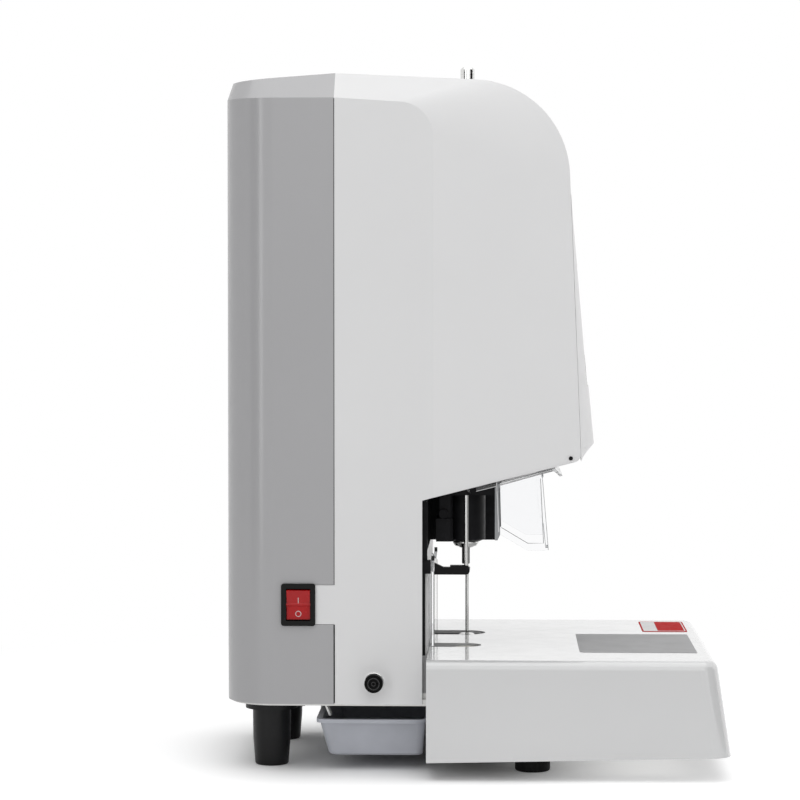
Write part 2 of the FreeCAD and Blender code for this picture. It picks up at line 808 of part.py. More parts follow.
def front_cover():
    """White moulded cover: column sides, rounded shoulders and the overhanging head."""
    body = new_body("front_form")
    foot = s.cover_bottom
    under_side = s.head_rear_z + under_slope * s.side_panel_reach
    side_half = column_front + s.side_panel_reach / 2
    side = [
        (s.seam_x, foot), (s.seam_x, side_top_rear),
        (side_front, side_top_front, s.side_panel_radius), (side_front, under_side, s.side_foot_radius),
        (side_half, underside_at(side_half)), (column_front, s.head_rear_z), (column_front, foot),
    ]
    middle = [
        (s.seam_x, foot), (s.seam_x, s.ridge_seam),
        (nose_top_x, ridge_front, s.head_top_radius), (nose_bottom_x, s.head_front_z, s.nose_corner_radius),
        (lip_x, s.head_front_z), (column_front, s.head_rear_z), (column_front, foot),
    ]
    levels = [-s.half_width, -shoulder_y, shoulder_y, s.half_width]
    loft(body, "XZ_Plane", levels, [side, middle, middle, side])
    wall = s.cover_wall
    back = s.seam_x - CUT_OVERRUN
    low = foot - CUT_OVERRUN
    mouth = column_front + CUT_OVERRUN
    mouth_z = underside_at(mouth) + wall
    side_in = [
        (back, low), (back, side_top_rear - wall),
        (side_front - wall, side_top_front - wall, s.side_panel_radius - wall),
        (side_front - wall, under_side + wall, s.side_foot_radius - wall),
        (side_half, underside_at(side_half) + wall), (mouth, mouth_z), (mouth, low),
    ]
    middle_in = [
        (back, low), (back, s.ridge_seam - wall),
        (nose_top_x - wall, ridge_front - wall, s.head_top_radius - wall),
        (nose_bottom_x - wall, s.head_front_z + wall, s.nose_corner_radius - wall),
        (lip_x, s.head_front_z + wall), (mouth, mouth_z), (mouth, low),
    ]
    edge = s.half_width - wall
    inner = shoulder_y - wall / 2
    loft(body, "XZ_Plane", [-edge, -inner, inner, edge], [side_in, middle_in, middle_in, side_in], cut=True)
    throat = box("throat_cut", column_front - CUT_OVERRUN, column_front + s.throat_depth,
                 -s.throat_half_width, s.throat_half_width,
                 s.head_rear_z - CUT_OVERRUN, underside_at(column_front + s.throat_depth) + wall * 2)
    inlet = rod("inlet_cut", "Z", s.station_x, s.station_y, inlet_seat,
                s.inlet_radius + s.inlet_hole_gap, inlet_top - inlet_seat)
    fuse_hole = rod("fuse_cut", "Y", s.fuse_x, -s.half_width - CUT_OVERRUN, s.fuse_z,
                    s.fuse_body_radius + s.panel_cut_gap, wall + 2 * CUT_OVERRUN)
    window = box("window_cut", nose_top_x - s.cover_wall * 2, nose_bottom_x + CUT_OVERRUN,
                 -s.bezel_half_width, s.bezel_half_width, s.bezel_bottom, s.bezel_bottom + s.bezel_height)
    screw_hole = rod("nose_screw_cut", "Y", nose_screw_x, -s.half_width, nose_screw_z,
                     s.nose_screw_radius, s.half_width * 2)
    shell = cut("front_shell", body, [throat, inlet, fuse_hole, window, screw_hole])
    tab = box("front_tab", s.seam_x - s.notch_depth + s.notch_gap, s.seam_x + CUT_OVERRUN,
              -s.half_width, -s.half_width + wall,
              s.notch_bottom + s.notch_gap, s.notch_bottom + s.notch_height - s.notch_gap)
    finish(fuse("front_cover_shape", [shell, tab]), "front_cover")


def bow_form(name, levels, crowns):
    """A block on the nose whose front bulges across the machine to a crown at each level."""
    body = new_body(name)

    def bow(level, crown):
        return lambda sketch: draw_bow(sketch, nose_at(level) + s.panel_seat_gap, crown, s.panel_half_width)

    loft(body, "XY_Plane", levels, [bow(level, crown) for level, crown in zip(levels, crowns)])
    return body


def front_panel():
    """Convex plate on the nose of the head, drawn in at its foot, with an opening for the bezel."""
    levels = [s.panel_foot, s.panel_bottom, s.panel_top]
    crowns = [nose_at(s.panel_foot) + s.panel_bulge_foot, crown_at(s.panel_bottom), crown_at(s.panel_top)]
    body = bow_form("panel_form", levels, crowns)
    opening = rectangle(-s.bezel_half_width, s.bezel_bottom, s.bezel_half_width,
                        s.bezel_bottom + s.bezel_height, s.bezel_corner_radius)
    extrude(body, "YZ_Plane", [opening], nose_top_x, crown_at(s.panel_bottom) - nose_top_x, cut=True)
    finish(body, "front_panel")


def curved_plate(name, half, low, high, radius, sink, thickness):
    """A plate with a rounded outline that follows the panel's curve, sunk below its crown."""
    block = new_body(name + "_outline")
    reach = crown_at(s.panel_bottom) - nose_top_x
    extrude(block, "YZ_Plane", [rectangle(-half, low, half, high, radius)], nose_top_x, reach)
    levels = [low - CUT_OVERRUN, high + CUT_OVERRUN]
    front = bow_form(name + "_front", levels, [crown_at(level) - sink for level in levels])
    levels = [low - CUT_OVERRUN * 2, high + CUT_OVERRUN * 2]
    back = bow_form(name + "_back", levels, [crown_at(level) - sink - thickness for level in levels])
    return cut(name + "_plate", common(name + "_blank", [block, front]), [back])


def control_bezel():
    """Dark bezel in the front panel, with a window for the display and holes for the keys."""
    gap = s.key_gap
    low = s.bezel_bottom + gap
    high = s.bezel_bottom + s.bezel_height - gap
    plate = curved_plate("bezel", s.bezel_half_width - gap, low, high, s.bezel_corner_radius - gap,
                         s.bezel_sink, s.bezel_thickness)
    reach = crown_at(s.panel_bottom) - nose_top_x
    tools = new_body("bezel_tools")
    window = rectangle(-s.display_half_width, s.display_bottom, s.display_half_width,
                       s.display_bottom + s.display_height, s.display_corner_radius)
    holes = [(key_y(index), s.key_height, s.key_radius + gap) for index in range(int(s.key_count.value))]
    extrude(tools, "YZ_Plane", [window], nose_top_x, reach)
    rods = [rod("key_hole", "X", nose_top_x, y, z, radius, reach) for y, z, radius in holes]
    finish(cut("control_bezel_shape", plate, [tools] + rods), "control_bezel")


def key_y(index):
    """Place of one key across the machine."""
    return s.key_pitch * (index - (s.key_count.value - 1) / 2)


def display_and_keys():
    """Display glass and round keys, each in its own opening of the bezel."""
    gap = s.panel_seat_gap
    glass = curved_plate("display", s.display_half_width - gap, s.display_bottom + gap,
                         s.display_bottom + s.display_height - gap, s.display_corner_radius - gap,
                         s.display_sink, s.display_thickness)
    finish(glass, "display_window")
    for index in range(int(s.key_count.value)):
        key = new_body("key_form")
        length = s.key_length
        turn(key, [(0, 0), (s.key_radius, 0), (s.key_radius, length, s.key_edge_radius), (0, length)])
        place(key, crown_at(s.key_height) - s.key_sink - length, key_y(index), s.key_height, AXIS_TURNS["X"])
        finish(key, "key_%d" % (index + 1))


def control_board():
    """Circuit board behind the keys, parallel to the nose of the head."""
    body = new_body("board_form")
    low = s.bezel_bottom - s.key_radius
    high = s.bezel_bottom + s.bezel_height + s.key_radius
    back = -s.cover_wall - s.panel_seat_gap - s.board_thickness
    outline = [
        (nose_at(low) + back, low), (nose_at(low) + back + s.board_thickness, low),
        (nose_at(high) + back + s.board_thickness, high), (nose_at(high) + back, high),
    ]
    half = s.bezel_half_width + s.key_radius
    extrude(body, "XZ_Plane", [outline], -half, half * 2)
    finish(body, "control_board")


# ------------------------------------------------------------ base and table

def base_plate():
    """Steel plate that carries the column, with an opening over the chip tray."""
    body = new_body("base_form")
    inset = s.cover_wall + s.base_gap
    edge = s.half_width - inset
    radius = s.rear_corner_radius - inset
    start = rear_x + inset
    outline = [(start, -edge, radius), (base_front, -edge), (base_front, edge), (start, edge, radius)]
    chips = rectangle(web_rear - s.chute_depth, -s.station_y - s.chute_width / 2,
                      web_rear - s.chute_wall, -s.station_y + s.chute_width / 2)
    extrude(body, "XY_Plane", [outline, chips], s.base_bottom, s.base_thickness)
    finish(body, "base_plate")


def table_cover():
    """White shell of the work table, open below, with a slot to each station."""
    body = new_body("table_form")
    front_top = table_rear + s.table_length_top
    front_bottom = table_rear + s.table_length_bottom
    outline = [
        (table_rear, s.table_bottom_rear), (table_rear, s.table_top),
        (front_top, s.table_top), (front_bottom, s.table_bottom_front),
    ]
    extrude(body, "XZ_Plane", [outline], -s.table_half_width, s.table_half_width * 2)
    mid = (front_top.value + table_rear.value) / 2
    round_edges(body, s.table_corner_radius,
                lambda b: b.XMin > mid and b.YLength < 1 and b.ZLength > 20)
    top = s.table_top.value
    round_edges(body, s.table_edge_radius,
                lambda b: b.ZMin > top - 0.01 and b.XMax > table_rear.value + 1)
    hollow(body, s.table_wall, lambda b: b.ZMax < s.table_bottom_front.value + 0.01)
    hook = s.front_plate_half_width + s.notch_gap
    opening = rectangle(-hook, base_top - s.notch_gap, hook, base_top + s.table_frame_thickness + s.notch_gap)
    through = s.table_wall + 2 * CUT_OVERRUN
    extrude(body, "YZ_Plane", [opening], table_rear - CUT_OVERRUN, through, cut=True)
    bay = s.tray_rail_half_length + s.notch_gap
    rail_bay = rectangle(-bay, s.table_bottom_rear - CUT_OVERRUN, bay, s.base_bottom + s.notch_gap)
    extrude(body, "YZ_Plane", [rail_bay], table_rear - CUT_OVERRUN, through, cut=True)
    for side, width in ((-1, s.near_slot_width), (1, s.far_slot_width)):
        centre = s.station_y * side
        half = width / 2
        rear = table_rear - CUT_OVERRUN
        depth = s.table_edge_radius
        slot = rectangle(rear, centre - half, s.station_x, centre + half)
        extrude(body, "XY_Plane", [slot], s.table_top - depth, depth + CUT_OVERRUN, cut=True)
        extrude(body, "XY_Plane", [(s.station_x, centre, half)], s.table_top - depth,
                depth + CUT_OVERRUN, cut=True)
    finish(body, "table_cover")


def table_frame():
    """Bent steel pan under the table, hooked over the front edge of the base plate."""
    body = new_body("table_frame_form")
    wall = s.table_frame_thickness
    rear = table_frame_rear
    front = table_rear + s.table_length_top - s.table_frame_setback
    hook_rear = web_front + s.base_front_gap
    low = s.table_frame_bottom
    pan = [
        (rear, low), (front, low), (front, low + s.table_frame_lip), (front - wall, low + s.table_frame_lip),
        (front - wall, low + wall), (rear + wall, low + wall), (rear + wall, base_top), (rear, base_top),
    ]
    half = s.table_half_width - s.table_frame_side_gap
    extrude(body, "XZ_Plane", [pan], -half, half * 2)
    hook = rectangle(hook_rear, base_top, rear + wall, base_top + wall)
    half = s.front_plate_half_width
    extrude(body, "XZ_Plane", [hook], -half, half * 2)
    finish(body, "table_frame")


def feet():
    """Tall tapered feet under the column and low pads under the table."""
    edge = s.foot_edge_radius
    tall_feet = []
    low_feet = []
    for side in (-1, 1):
        tall = new_body("rear_foot_form")
        top = s.base_bottom
        flange = s.rear_foot_flange_radius
        flange_low = top - s.rear_foot_flange_height
        turn(tall, [
            (0, 0), (s.rear_foot_bottom_radius, 0, edge), (s.rear_foot_break_radius, s.rear_foot_break),
            (s.rear_foot_top_radius, flange_low), (flange, flange_low), (flange, top), (0, top),
        ])
        tall_feet.append(place(tall, s.rear_foot_x, s.rear_foot_y * side, 0))
        low = new_body("table_foot_form")
        height = s.table_frame_bottom
        turn(low, [(0, 0), (s.table_foot_radius, 0, edge), (s.table_foot_radius, height), (0, height)])
        low_feet.append(place(low, s.table_foot_x, s.table_foot_y * side, 0))
    finish(group("rear_foot_group", tall_feet), "rear_feet")
    finish(group("table_foot_group", low_feet), "table_feet")


# ---------------------------------------------------------------- tray

def tray():
    """Pressed pan for the chips: tapered walls, rounded floor and an outward rim."""
    body = new_body("tray_form")
    rim = s.tray_rim_width
    taper = s.tray_taper
    half = s.tray_half_width
    wall = s.tray_wall
    rim_low = s.tray_rim_top - s.tray_rim_height
    radius = s.tray_corner_radius

    def outline(inset, corner):
        front = s.tray_front - inset * s.tray_front_share
        return rectangle(s.tray_rear + inset, -half + inset, front, half - inset, corner)

    def pan(wall_in, corner, top, spread):
        """Levels and outlines of the pan's outer or inner form, rounded at the floor."""
        levels = []
        sections = []
        curve = s.tray_floor_radius - wall_in
        for step in range(FLOOR_STEPS):
            angle = math.pi / 2 * step / FLOOR_STEPS
            levels.append(s.tray_bottom + wall_in + curve * (1 - math.cos(angle)))
            sections.append(outline(taper + spread + curve * (1 - math.sin(angle)), corner))
        levels.append(top)
        sections.append(outline(spread, corner))
        return levels, sections

    loft(body, "XY_Plane", *pan(as_dim(0), radius, rim_low, rim))
    extrude(body, "XY_Plane", [outline(as_dim(0), radius + rim)], rim_low, s.tray_rim_height)
    brim = s.tray_rim_top + s.tray_play
    loft(body, "XY_Plane", *pan(wall, radius - wall, brim, rim + wall), cut=True)
    finish(body, "chip_tray")


def tray_rails():
    """Two folded rails that carry the rim of the tray; the rear one also guides it at its mouth."""
    play = s.tray_play
    wall = s.tray_rail_wall
    under = s.tray_rim_top - s.tray_rim_height - play
    top = s.base_bottom
    half = s.tray_rail_half_length
    rear = new_body("rear_rail_form")
    edge = s.tray_rear - play
    back = edge - wall
    lip = edge + s.rail_lip + play
    hook = [(back, top), (back, under - wall), (lip, under - wall), (lip, under), (edge, under), (edge, top)]
    extrude(rear, "XZ_Plane", [hook], s.tray_hook_start, half - s.tray_hook_start)
    guide_top = s.tray_rear + s.tray_guide_top
    guide_foot = s.tray_rear + s.tray_guide_foot
    extrude(rear, "XZ_Plane", [rectangle(back, top - wall, guide_top + wall, top)], -half, half * 2)
    foot = s.tray_rim_top + play * 2
    guide = [(guide_top, top), (guide_foot, foot), (guide_foot + wall, foot), (guide_top + wall, top)]
    extrude(rear, "XZ_Plane", [guide], -half, s.tray_guide_length)
    front = new_body("front_rail_form")
    edge = s.tray_front + play
    back = table_frame_rear
    lip = edge - s.tray_rim_width * s.tray_front_share - play + s.tray_play / 2
    hook = [(back, top), (back, under - wall), (lip, under - wall), (lip, under), (edge, under), (edge, top)]
    extrude(front, "XZ_Plane", [hook], -half, half * 2)
    finish(group("tray_rail_group", [rear, front]), "tray_rails")


# ------------------------------------------------------- frame inside the column

def column_frame():
    """Folded upright channel: a web across the machine with flanges to the rear."""
    body = new_body("column_frame_form")
    half = s.web_half_width
    inner = half - s.flange_thickness
    tail = web_rear - s.flange_depth
    outline = [
        (web_front, -half), (web_front, half), (tail, half), (tail, inner),
        (web_rear, inner), (web_rear, -inner), (tail, -inner), (tail, -half),
    ]
    extrude(body, "XY_Plane", [outline], base_top, web_top - base_top)
    finish(body, "column_frame")


def column_plates():
    """Black guide plate with a rail strip on its near edge, and the grey foot plate below."""
    half = s.front_plate_half_width
    rail_end = s.rail_width - half
    upper = new_body("guide_plate_form")
    neck = s.head_plate_half_width
    outline = [
        (rail_end, s.front_plate_bottom), (half, s.front_plate_bottom), (half, s.rail_top), (neck, s.rail_top),
        (neck, s.head_plate_bottom), (-neck, s.head_plate_bottom), (-neck, s.rail_top), (rail_end, s.rail_top),
    ]
    extrude(upper, "YZ_Plane", [outline], plate_rear, s.front_plate_thickness)
    finish(upper, "guide_plate")
    rail = new_body("rail_form")
    outline = rectangle(-half, s.front_plate_bottom, rail_end, s.rail_top)
    extrude(rail, "YZ_Plane", [outline], plate_rear, s.front_plate_thickness)
    wall = s.collar_wall
    collar = rectangle(plate_rear, -half - wall, plate_front + wall, rail_end)
    extrude(rail, "XY_Plane", [collar], s.collar_bottom, s.collar_height)
    finish(rail, "presser_rail")
    lower = new_body("foot_plate_form")
    outline = rectangle(-half, base_top + s.table_frame_thickness, half, s.front_plate_bottom)
    extrude(lower, "YZ_Plane", [outline], plate_rear, s.front_plate_thickness)
    finish(lower, "foot_plate")


def station_circles(x, spread, radius):
    """Circles beside both stations, at a spread from each station's centre."""
    circles = []
    for side in (-1, 1):
        for offset in ((0,) if spread is None else (-1, 1)):
            y = s.station_y * side + (0 if spread is None else spread * offset)
            circles.append((x, y, radius))
    return circles


def head_plate():
    """Black casting under the head: plate, centre web and a stepped boss behind each sleeve."""
    body = new_body("head_plate_form")
    half = s.head_plate_half_width
    outline = rectangle(web_front, -half, s.head_plate_front, half)
    extrude(body, "XY_Plane", [outline], s.head_plate_bottom, s.head_plate_thickness)
    web = rectangle(plate_front + s.block_gap, s.head_web_bottom, s.head_plate_front, s.head_plate_bottom)
    extrude(body, "XZ_Plane", [web], -s.head_web_thickness / 2, s.head_web_thickness)
    for side in (-1, 1):
        centre = s.station_y * side
        boss_block(body, centre, s.boss_rear, s.boss_half_width, s.boss_bottom, s.boss_step)
        boss_block(body, centre, s.boss_neck_rear, s.boss_neck_half_width, s.boss_step, s.head_plate_bottom)
        reach = s.boss_half_width - s.boss_neck_half_width
        start = centre + (s.boss_neck_half_width if side > 0 else -s.boss_half_width)
        seat = (s.boss_screw_x, s.boss_screw_z, s.boss_screw_seat)
        extrude(body, "XZ_Plane", [seat], start, reach)
        start = half - s.guard_pin_depth if side > 0 else -half - CUT_OVERRUN
        pin = (s.guard_pivot_x, s.guard_pivot_z, s.guard_pin_radius)
        extrude(body, "XZ_Plane", [pin], start, s.guard_pin_depth + CUT_OVERRUN, cut=True)
    low = s.boss_bottom - CUT_OVERRUN
    depth = head_plate_top - low + CUT_OVERRUN
    sleeves = station_circles(s.station_x, None, s.sleeve_radius + s.sleeve_gap)
    extrude(body, "XY_Plane", sleeves, low, depth, cut=True)
    shafts = station_circles(s.shaft_x, s.shaft_spread, s.shaft_radius)
    extrude(body, "XY_Plane", shafts, s.head_plate_bottom + s.shaft_seat, depth, cut=True)
    bearings = station_circles(s.shaft_x, None, s.bearing_radius)
    extrude(body, "XY_Plane", bearings, head_plate_top - s.bearing_height, depth, cut=True)
    rods = [(s.rod_x, -s.station_y + s.rod_spread * offset, s.rod_radius + s.rod_gap) for offset in (-1, 1)]
    extrude(body, "XY_Plane", rods, s.head_plate_bottom - CUT_OVERRUN,
            s.head_plate_thickness + 2 * CUT_OVERRUN, cut=True)
    finish(body, "head_plate")


def boss_block(body, centre, rear, half, low, high):
    """One step of a boss, rounded at its front corners."""
    radius = s.boss_corner_radius
    outline = [
        (rear, centre - half), (s.boss_front, centre - half, radius),
        (s.boss_front, centre + half, radius), (rear, centre + half),
    ]
    extrude(body, "XY_Plane", [outline], low, high - low)


def top_plate():
    """Plate on top of the column frame that holds the shafts and the lift motors."""
    body = new_body("top_plate_form")
    half = s.top_plate_half_width
    outline = rectangle(s.top_plate_rear, -half, s.top_plate_front, half, s.table_corner_radius / 2)
    shafts = station_circles(s.shaft_x, s.shaft_spread, s.shaft_radius)
    screws = station_circles(s.shaft_x, None, s.screw_radius + s.screw_gap)
    tube = [(s.station_x, s.station_y, s.rivet_tube_radius + s.feed_gap)]
    extrude(body, "XY_Plane", [outline] + shafts + screws + tube, web_top, s.top_plate_thickness)
    finish(body, "top_plate")


def guide_shafts():
    """Four ground shafts between the head plate and the top plate."""
    low = s.head_plate_bottom + s.shaft_seat
    shafts = []
    for x, y, radius in station_circles(s.shaft_x, s.shaft_spread, s.shaft_radius):
        shafts.append(rod("guide_shaft", "Z", x, y, low, radius, top_plate_top - low))
    finish(group("shaft_group", shafts), "guide_shafts")


def lift_drives():
    """Lift motors, lead screws and lower bearings of the two stations."""
    motors = []
    bearings = []
    foot = head_plate_top - s.bearing_height
    for side, name in STATIONS:
        y = s.station_y * side
        motor = new_body("lift_motor_form")
        half = s.lift_motor_side / 2
        outline = rectangle(s.shaft_x - half, y - half, s.shaft_x + half, y + half, s.lift_motor_corner)
        extrude(motor, "XY_Plane", [outline], top_plate_top, s.lift_motor_height)
        extrude(motor, "XY_Plane", [(s.shaft_x, y, s.screw_radius + s.screw_gap)], top_plate_top,
                s.lift_motor_height / 2, cut=True)
        motors.append(motor)
        screw = new_body("lead_screw_form")
        core = s.screw_core_radius
        low = head_plate_top + s.web_thickness - foot
        high = web_top - s.web_thickness - foot
        top = top_plate_top + s.lift_motor_height / 2 - s.web_thickness - foot
        turn(screw, [(0, 0), (core, 0), (core, low), (s.screw_radius, low), (s.screw_radius, high),
                     (core, high), (core, top), (0, top)])
        place(screw, s.shaft_x, y, foot)
        finish(screw, name + "_lead_screw")
        bearing = new_body("bearing_form")
        gap = s.slide_gap
        turn(bearing, [(core + gap, 0), (s.bearing_radius, 0), (s.bearing_radius, s.bearing_height),
                       (core + gap, s.bearing_height)])
        bearings.append(place(bearing, s.shaft_x, y, foot))
    finish(group("lift_motor_group", motors), "lift_motors")
    finish(group("bearing_group", bearings), "screw_bearings")


def carriage(side, name, neck_radius):
    """Carriage block of one station: slides on two shafts, driven by a flanged nut."""
    y = s.station_y * side
    body = new_body("carriage_form")
    half = s.carriage_half_width
    outline = rectangle(s.carriage_rear, y - half, s.carriage_front, y + half, s.lift_motor_corner)
    holes = [(s.shaft_x, y + s.shaft_spread * offset, s.shaft_radius + s.slide_gap) for offset in (-1, 1)]
    holes.append((s.shaft_x, y, s.nut_radius))
    holes.append((s.station_x, y, neck_radius))
    extrude(body, "XY_Plane", [outline] + holes, carriage_bottom, s.carriage_height)
    finish(body, name + "_carriage")
    nut = new_body("nut_form")
    bore = s.screw_radius + s.screw_gap
    flange = s.nut_flange_thickness
    turn(nut, [(bore, -flange), (s.nut_flange_radius, -flange), (s.nut_flange_radius, 0),
               (s.nut_radius, 0), (s.nut_radius, s.carriage_height), (bore, s.carriage_height)])
    place(nut, s.shaft_x, y, carriage_bottom)
    finish(nut, name + "_nut")


# ---------------------------------------------------------------- drill station

def drill_head():
    """Sleeve, motor, spindle with its domed nose and the hollow bit."""
    y = -s.station_y
    carriage(-1, "drill", s.spindle_radius + s.spindle_gap)
    sleeve = new_body("drill_sleeve_form")
    length = carriage_bottom - s.sleeve_bottom
    bore = s.sleeve_bore_radius
    turn(sleeve, [(bore, 0), (s.sleeve_radius - s.sleeve_bevel, 0), (s.sleeve_radius, s.sleeve_bevel_rise),
                  (s.sleeve_radius, length), (bore, length)])
    place(sleeve, s.station_x, y, s.sleeve_bottom)
    finish(sleeve, "drill_sleeve")
    motor = new_body("drill_motor_form")
    height = s.drill_motor_height
    recess = s.spindle_radius + s.spindle_gap
    turn(motor, [(recess, 0), (s.drill_motor_radius, 0), (s.drill_motor_radius, height, s.lift_motor_corner),
                 (0, height), (0, height / 2), (recess, height / 2)])
    place(motor, s.station_x, y, carriage_top)
    finish(motor, "drill_motor")
    spindle = new_body("spindle_form")
    foot = s.sleeve_bottom - s.dome_gap - s.dome_drop
    socket = s.bit_shank
    dome_top = s.dome_drop
    top = carriage_top + height / 2 - s.spindle_gap - foot
    turn(spindle, [
        (s.bit_radius, 0), (s.nose_radius, 0), (s.dome_belly_radius, s.dome_belly_rise),
        (s.dome_radius, dome_top - s.dome_gap * 2),
        (s.dome_radius, dome_top), (s.spindle_radius, dome_top), (s.spindle_radius, top),
        (0, top), (0, socket), (s.bit_radius, socket),
    ])
    place(spindle, s.station_x, y, foot)
    finish(spindle, "drill_spindle")
    bit = new_body("bit_form")
    length = foot + socket - s.bit_tip
    turn(bit, [(s.bit_radius - s.slide_gap * 3, 0), (s.bit_radius, s.slide_gap * 12), (s.bit_radius, length),
               (s.bit_bore_radius, length), (s.bit_bore_radius, 0)])
    place(bit, s.station_x, y, s.bit_tip)
    finish(bit, "drill_bit")


# ---------------------------------------------------------------- rivet station

def rivet_head():
    """Heated sleeve with its die, the sliding feed tube and the inlet on the roof."""
    y = s.station_y
    bore = s.rivet_bore_radius
    carriage(1, "rivet", s.rivet_tube_radius)
    sleeve = new_body("rivet_sleeve_form")
    length = carriage_bottom - s.sleeve_bottom
    turn(sleeve, [(bore, 0), (s.sleeve_radius - s.sleeve_bevel, 0), (s.sleeve_radius, s.sleeve_bevel_rise),
                  (s.sleeve_radius, length), (bore, length)])
    place(sleeve, s.station_x, y, s.sleeve_bottom)
    finish(sleeve, "rivet_sleeve")
    die = new_body("rivet_die_form")
    drop = s.dome_drop
    turn(die, [(bore, 0), (s.nose_radius, 0), (s.dome_belly_radius, s.dome_belly_rise),
               (s.dome_radius, drop - s.dome_gap * 2), (s.dome_radius, drop), (bore, drop)])
    place(die, s.station_x, y, s.sleeve_bottom - drop)
    finish(die, "rivet_die")
    tube = new_body("rivet_tube_form")
    length = rivet_tube_top - carriage_bottom
    turn(tube, [(bore, 0), (s.rivet_tube_radius, 0), (s.rivet_tube_radius, length), (bore, length)])
    place(tube, s.station_x, y, carriage_bottom)
    finish(tube, "rivet_tube")
    feed = new_body("feed_tube_form")
    length = inlet_seat - top_plate_top
    slip = s.rivet_tube_radius + s.feed_gap
    flange = s.feed_flange_radius
    turn(feed, [(slip, 0), (flange, 0), (flange, s.web_thickness), (s.feed_tube_radius, s.web_thickness),
                (s.feed_tube_radius, length), (slip, length)])
    place(feed, s.station_x, y, top_plate_top)
    finish(feed, "feed_tube")
    inlet = new_body("tube_inlet_form")
    length = inlet_top - inlet_seat
    collar = s.web_thickness
    turn(inlet, [(bore, 0), (s.inlet_flange_radius, 0), (s.inlet_flange_radius, collar),
                 (s.inlet_radius, collar), (s.inlet_radius, length - s.inlet_chamfer),
                 (s.inlet_radius - s.inlet_chamfer, length), (bore, length)])
    place(inlet, s.station_x, y, inlet_seat)
    finish(inlet, "tube_inlet")


def lower_tools():
    """Drill pad in its holder, and the lower die post with the sprung guide needle."""
    holder = new_body("pad_holder_form")
    seat = s.pad_bottom - table_frame_top
    top = s.pad_holder_top - table_frame_top
    pocket = s.pad_radius + s.pad_gap
    turn(holder, [(0, 0), (s.pad_holder_radius, 0), (s.pad_holder_radius, top), (pocket, top),
                  (pocket, seat), (0, seat)])
    place(holder, s.station_x, -s.station_y, table_frame_top)
    finish(holder, "pad_holder")
    pad = new_body("pad_form")
    height = s.pad_top - s.pad_bottom
    turn(pad, [(0, 0), (s.pad_radius, 0), (s.pad_radius, height), (0, height)])
    place(pad, s.station_x, -s.station_y, s.pad_bottom)
    finish(pad, "drill_pad")
    post = new_body("die_post_form")
    top = s.post_top - table_frame_top
    roof = top - s.post_roof
    slip = s.needle_radius + s.needle_gap
    turn(post, [(s.post_bore_radius, 0), (s.post_radius, 0), (s.post_radius, top), (slip, top),
                (slip, roof), (s.post_bore_radius, roof)])
    place(post, s.station_x, s.station_y, table_frame_top)
    finish(post, "die_post")
    die = new_body("lower_die_form")
    height = s.lower_die_top - s.post_top
    turn(die, [(slip, 0), (s.lower_die_radius, 0), (s.lower_die_radius, height - s.inlet_chamfer),
               (s.lower_die_radius - s.inlet_chamfer, height), (slip, height)])
    place(die, s.station_x, s.station_y, s.post_top)
    finish(die, "lower_die")
    needle = new_body("needle_form")
    base = s.carrier_bottom
    total = s.needle_top - base
    turn(needle, [(0, 0), (s.needle_radius, 0), (s.needle_radius, total - s.needle_radius * 2),
                  (s.needle_radius / 4, total), (0, total)])
    place(needle, s.station_x, s.station_y, base)
    finish(needle, "guide_needle")
    carrier = new_body("carrier_form")
    turn(carrier, [(s.needle_radius, 0), (s.carrier_radius, 0), (s.carrier_radius, s.carrier_height),
                   (s.needle_radius, s.carrier_height)])
    place(carrier, s.station_x, s.station_y, base)
    finish(carrier, "needle_carrier")


# ---------------------------------------------------------------- presser

def presser():
    """Forked presser foot with a side arm, hung on two rods from a yoke inside the head."""
    body = new_body("presser_form")
    low = s.bar_bottom
    top = low + s.bar_thickness
    mouth = -s.station_y
    near = mouth - s.bar_half_length
    nose = s.bar_nose_radius
    bar = [(s.bar_rear, low), (s.bar_front, low, nose), (s.bar_front, top, nose), (s.bar_rear, top)]
    extrude(body, "XZ_Plane", [bar], near, s.bar_half_length * 2)
    joint = s.bar_rear + CUT_OVERRUN
    step = low + s.arm_break_height
    arm = [(s.arm_rear, low), (joint, low), (joint, step), (s.arm_break, step), (s.arm_rear, low + s.arm_height)]
    extrude(body, "XZ_Plane", [arm], near, s.arm_width)
    fork = s.fork_radius
    under = low - CUT_OVERRUN
    through = s.bar_thickness + 2 * CUT_OVERRUN
    throat = rectangle(s.station_x, mouth - fork, s.bar_front + CUT_OVERRUN, mouth + fork)
    extrude(body, "XY_Plane", [throat], under, through, cut=True)
    extrude(body, "XY_Plane", [(s.station_x, mouth, fork)], under, through, cut=True)
    seat = low + s.rod_seat
    seats = [(s.rod_x, mouth + s.rod_spread * offset, s.rod_radius) for offset in (-1, 1)]
    extrude(body, "XY_Plane", seats, seat, through, cut=True)
    finish(body, "presser_foot")
    rods = [rod("presser_rod", "Z", x, y, seat, radius, s.yoke_bottom - seat) for x, y, radius in seats]
    finish(group("rod_group", rods), "presser_rods")
    yoke = new_body("yoke_form")
    margin = s.rod_radius * 2
    half = s.sleeve_radius + margin
    reach = s.rod_spread + margin
    outline = rectangle(s.station_x - half, mouth - reach, s.station_x + half, mouth + reach, margin)
    ring = (s.station_x, mouth, s.sleeve_radius + s.yoke_gap)
    extrude(yoke, "XY_Plane", [outline, ring], s.yoke_bottom, s.yoke_thickness)
    finish(yoke, "presser_yoke")


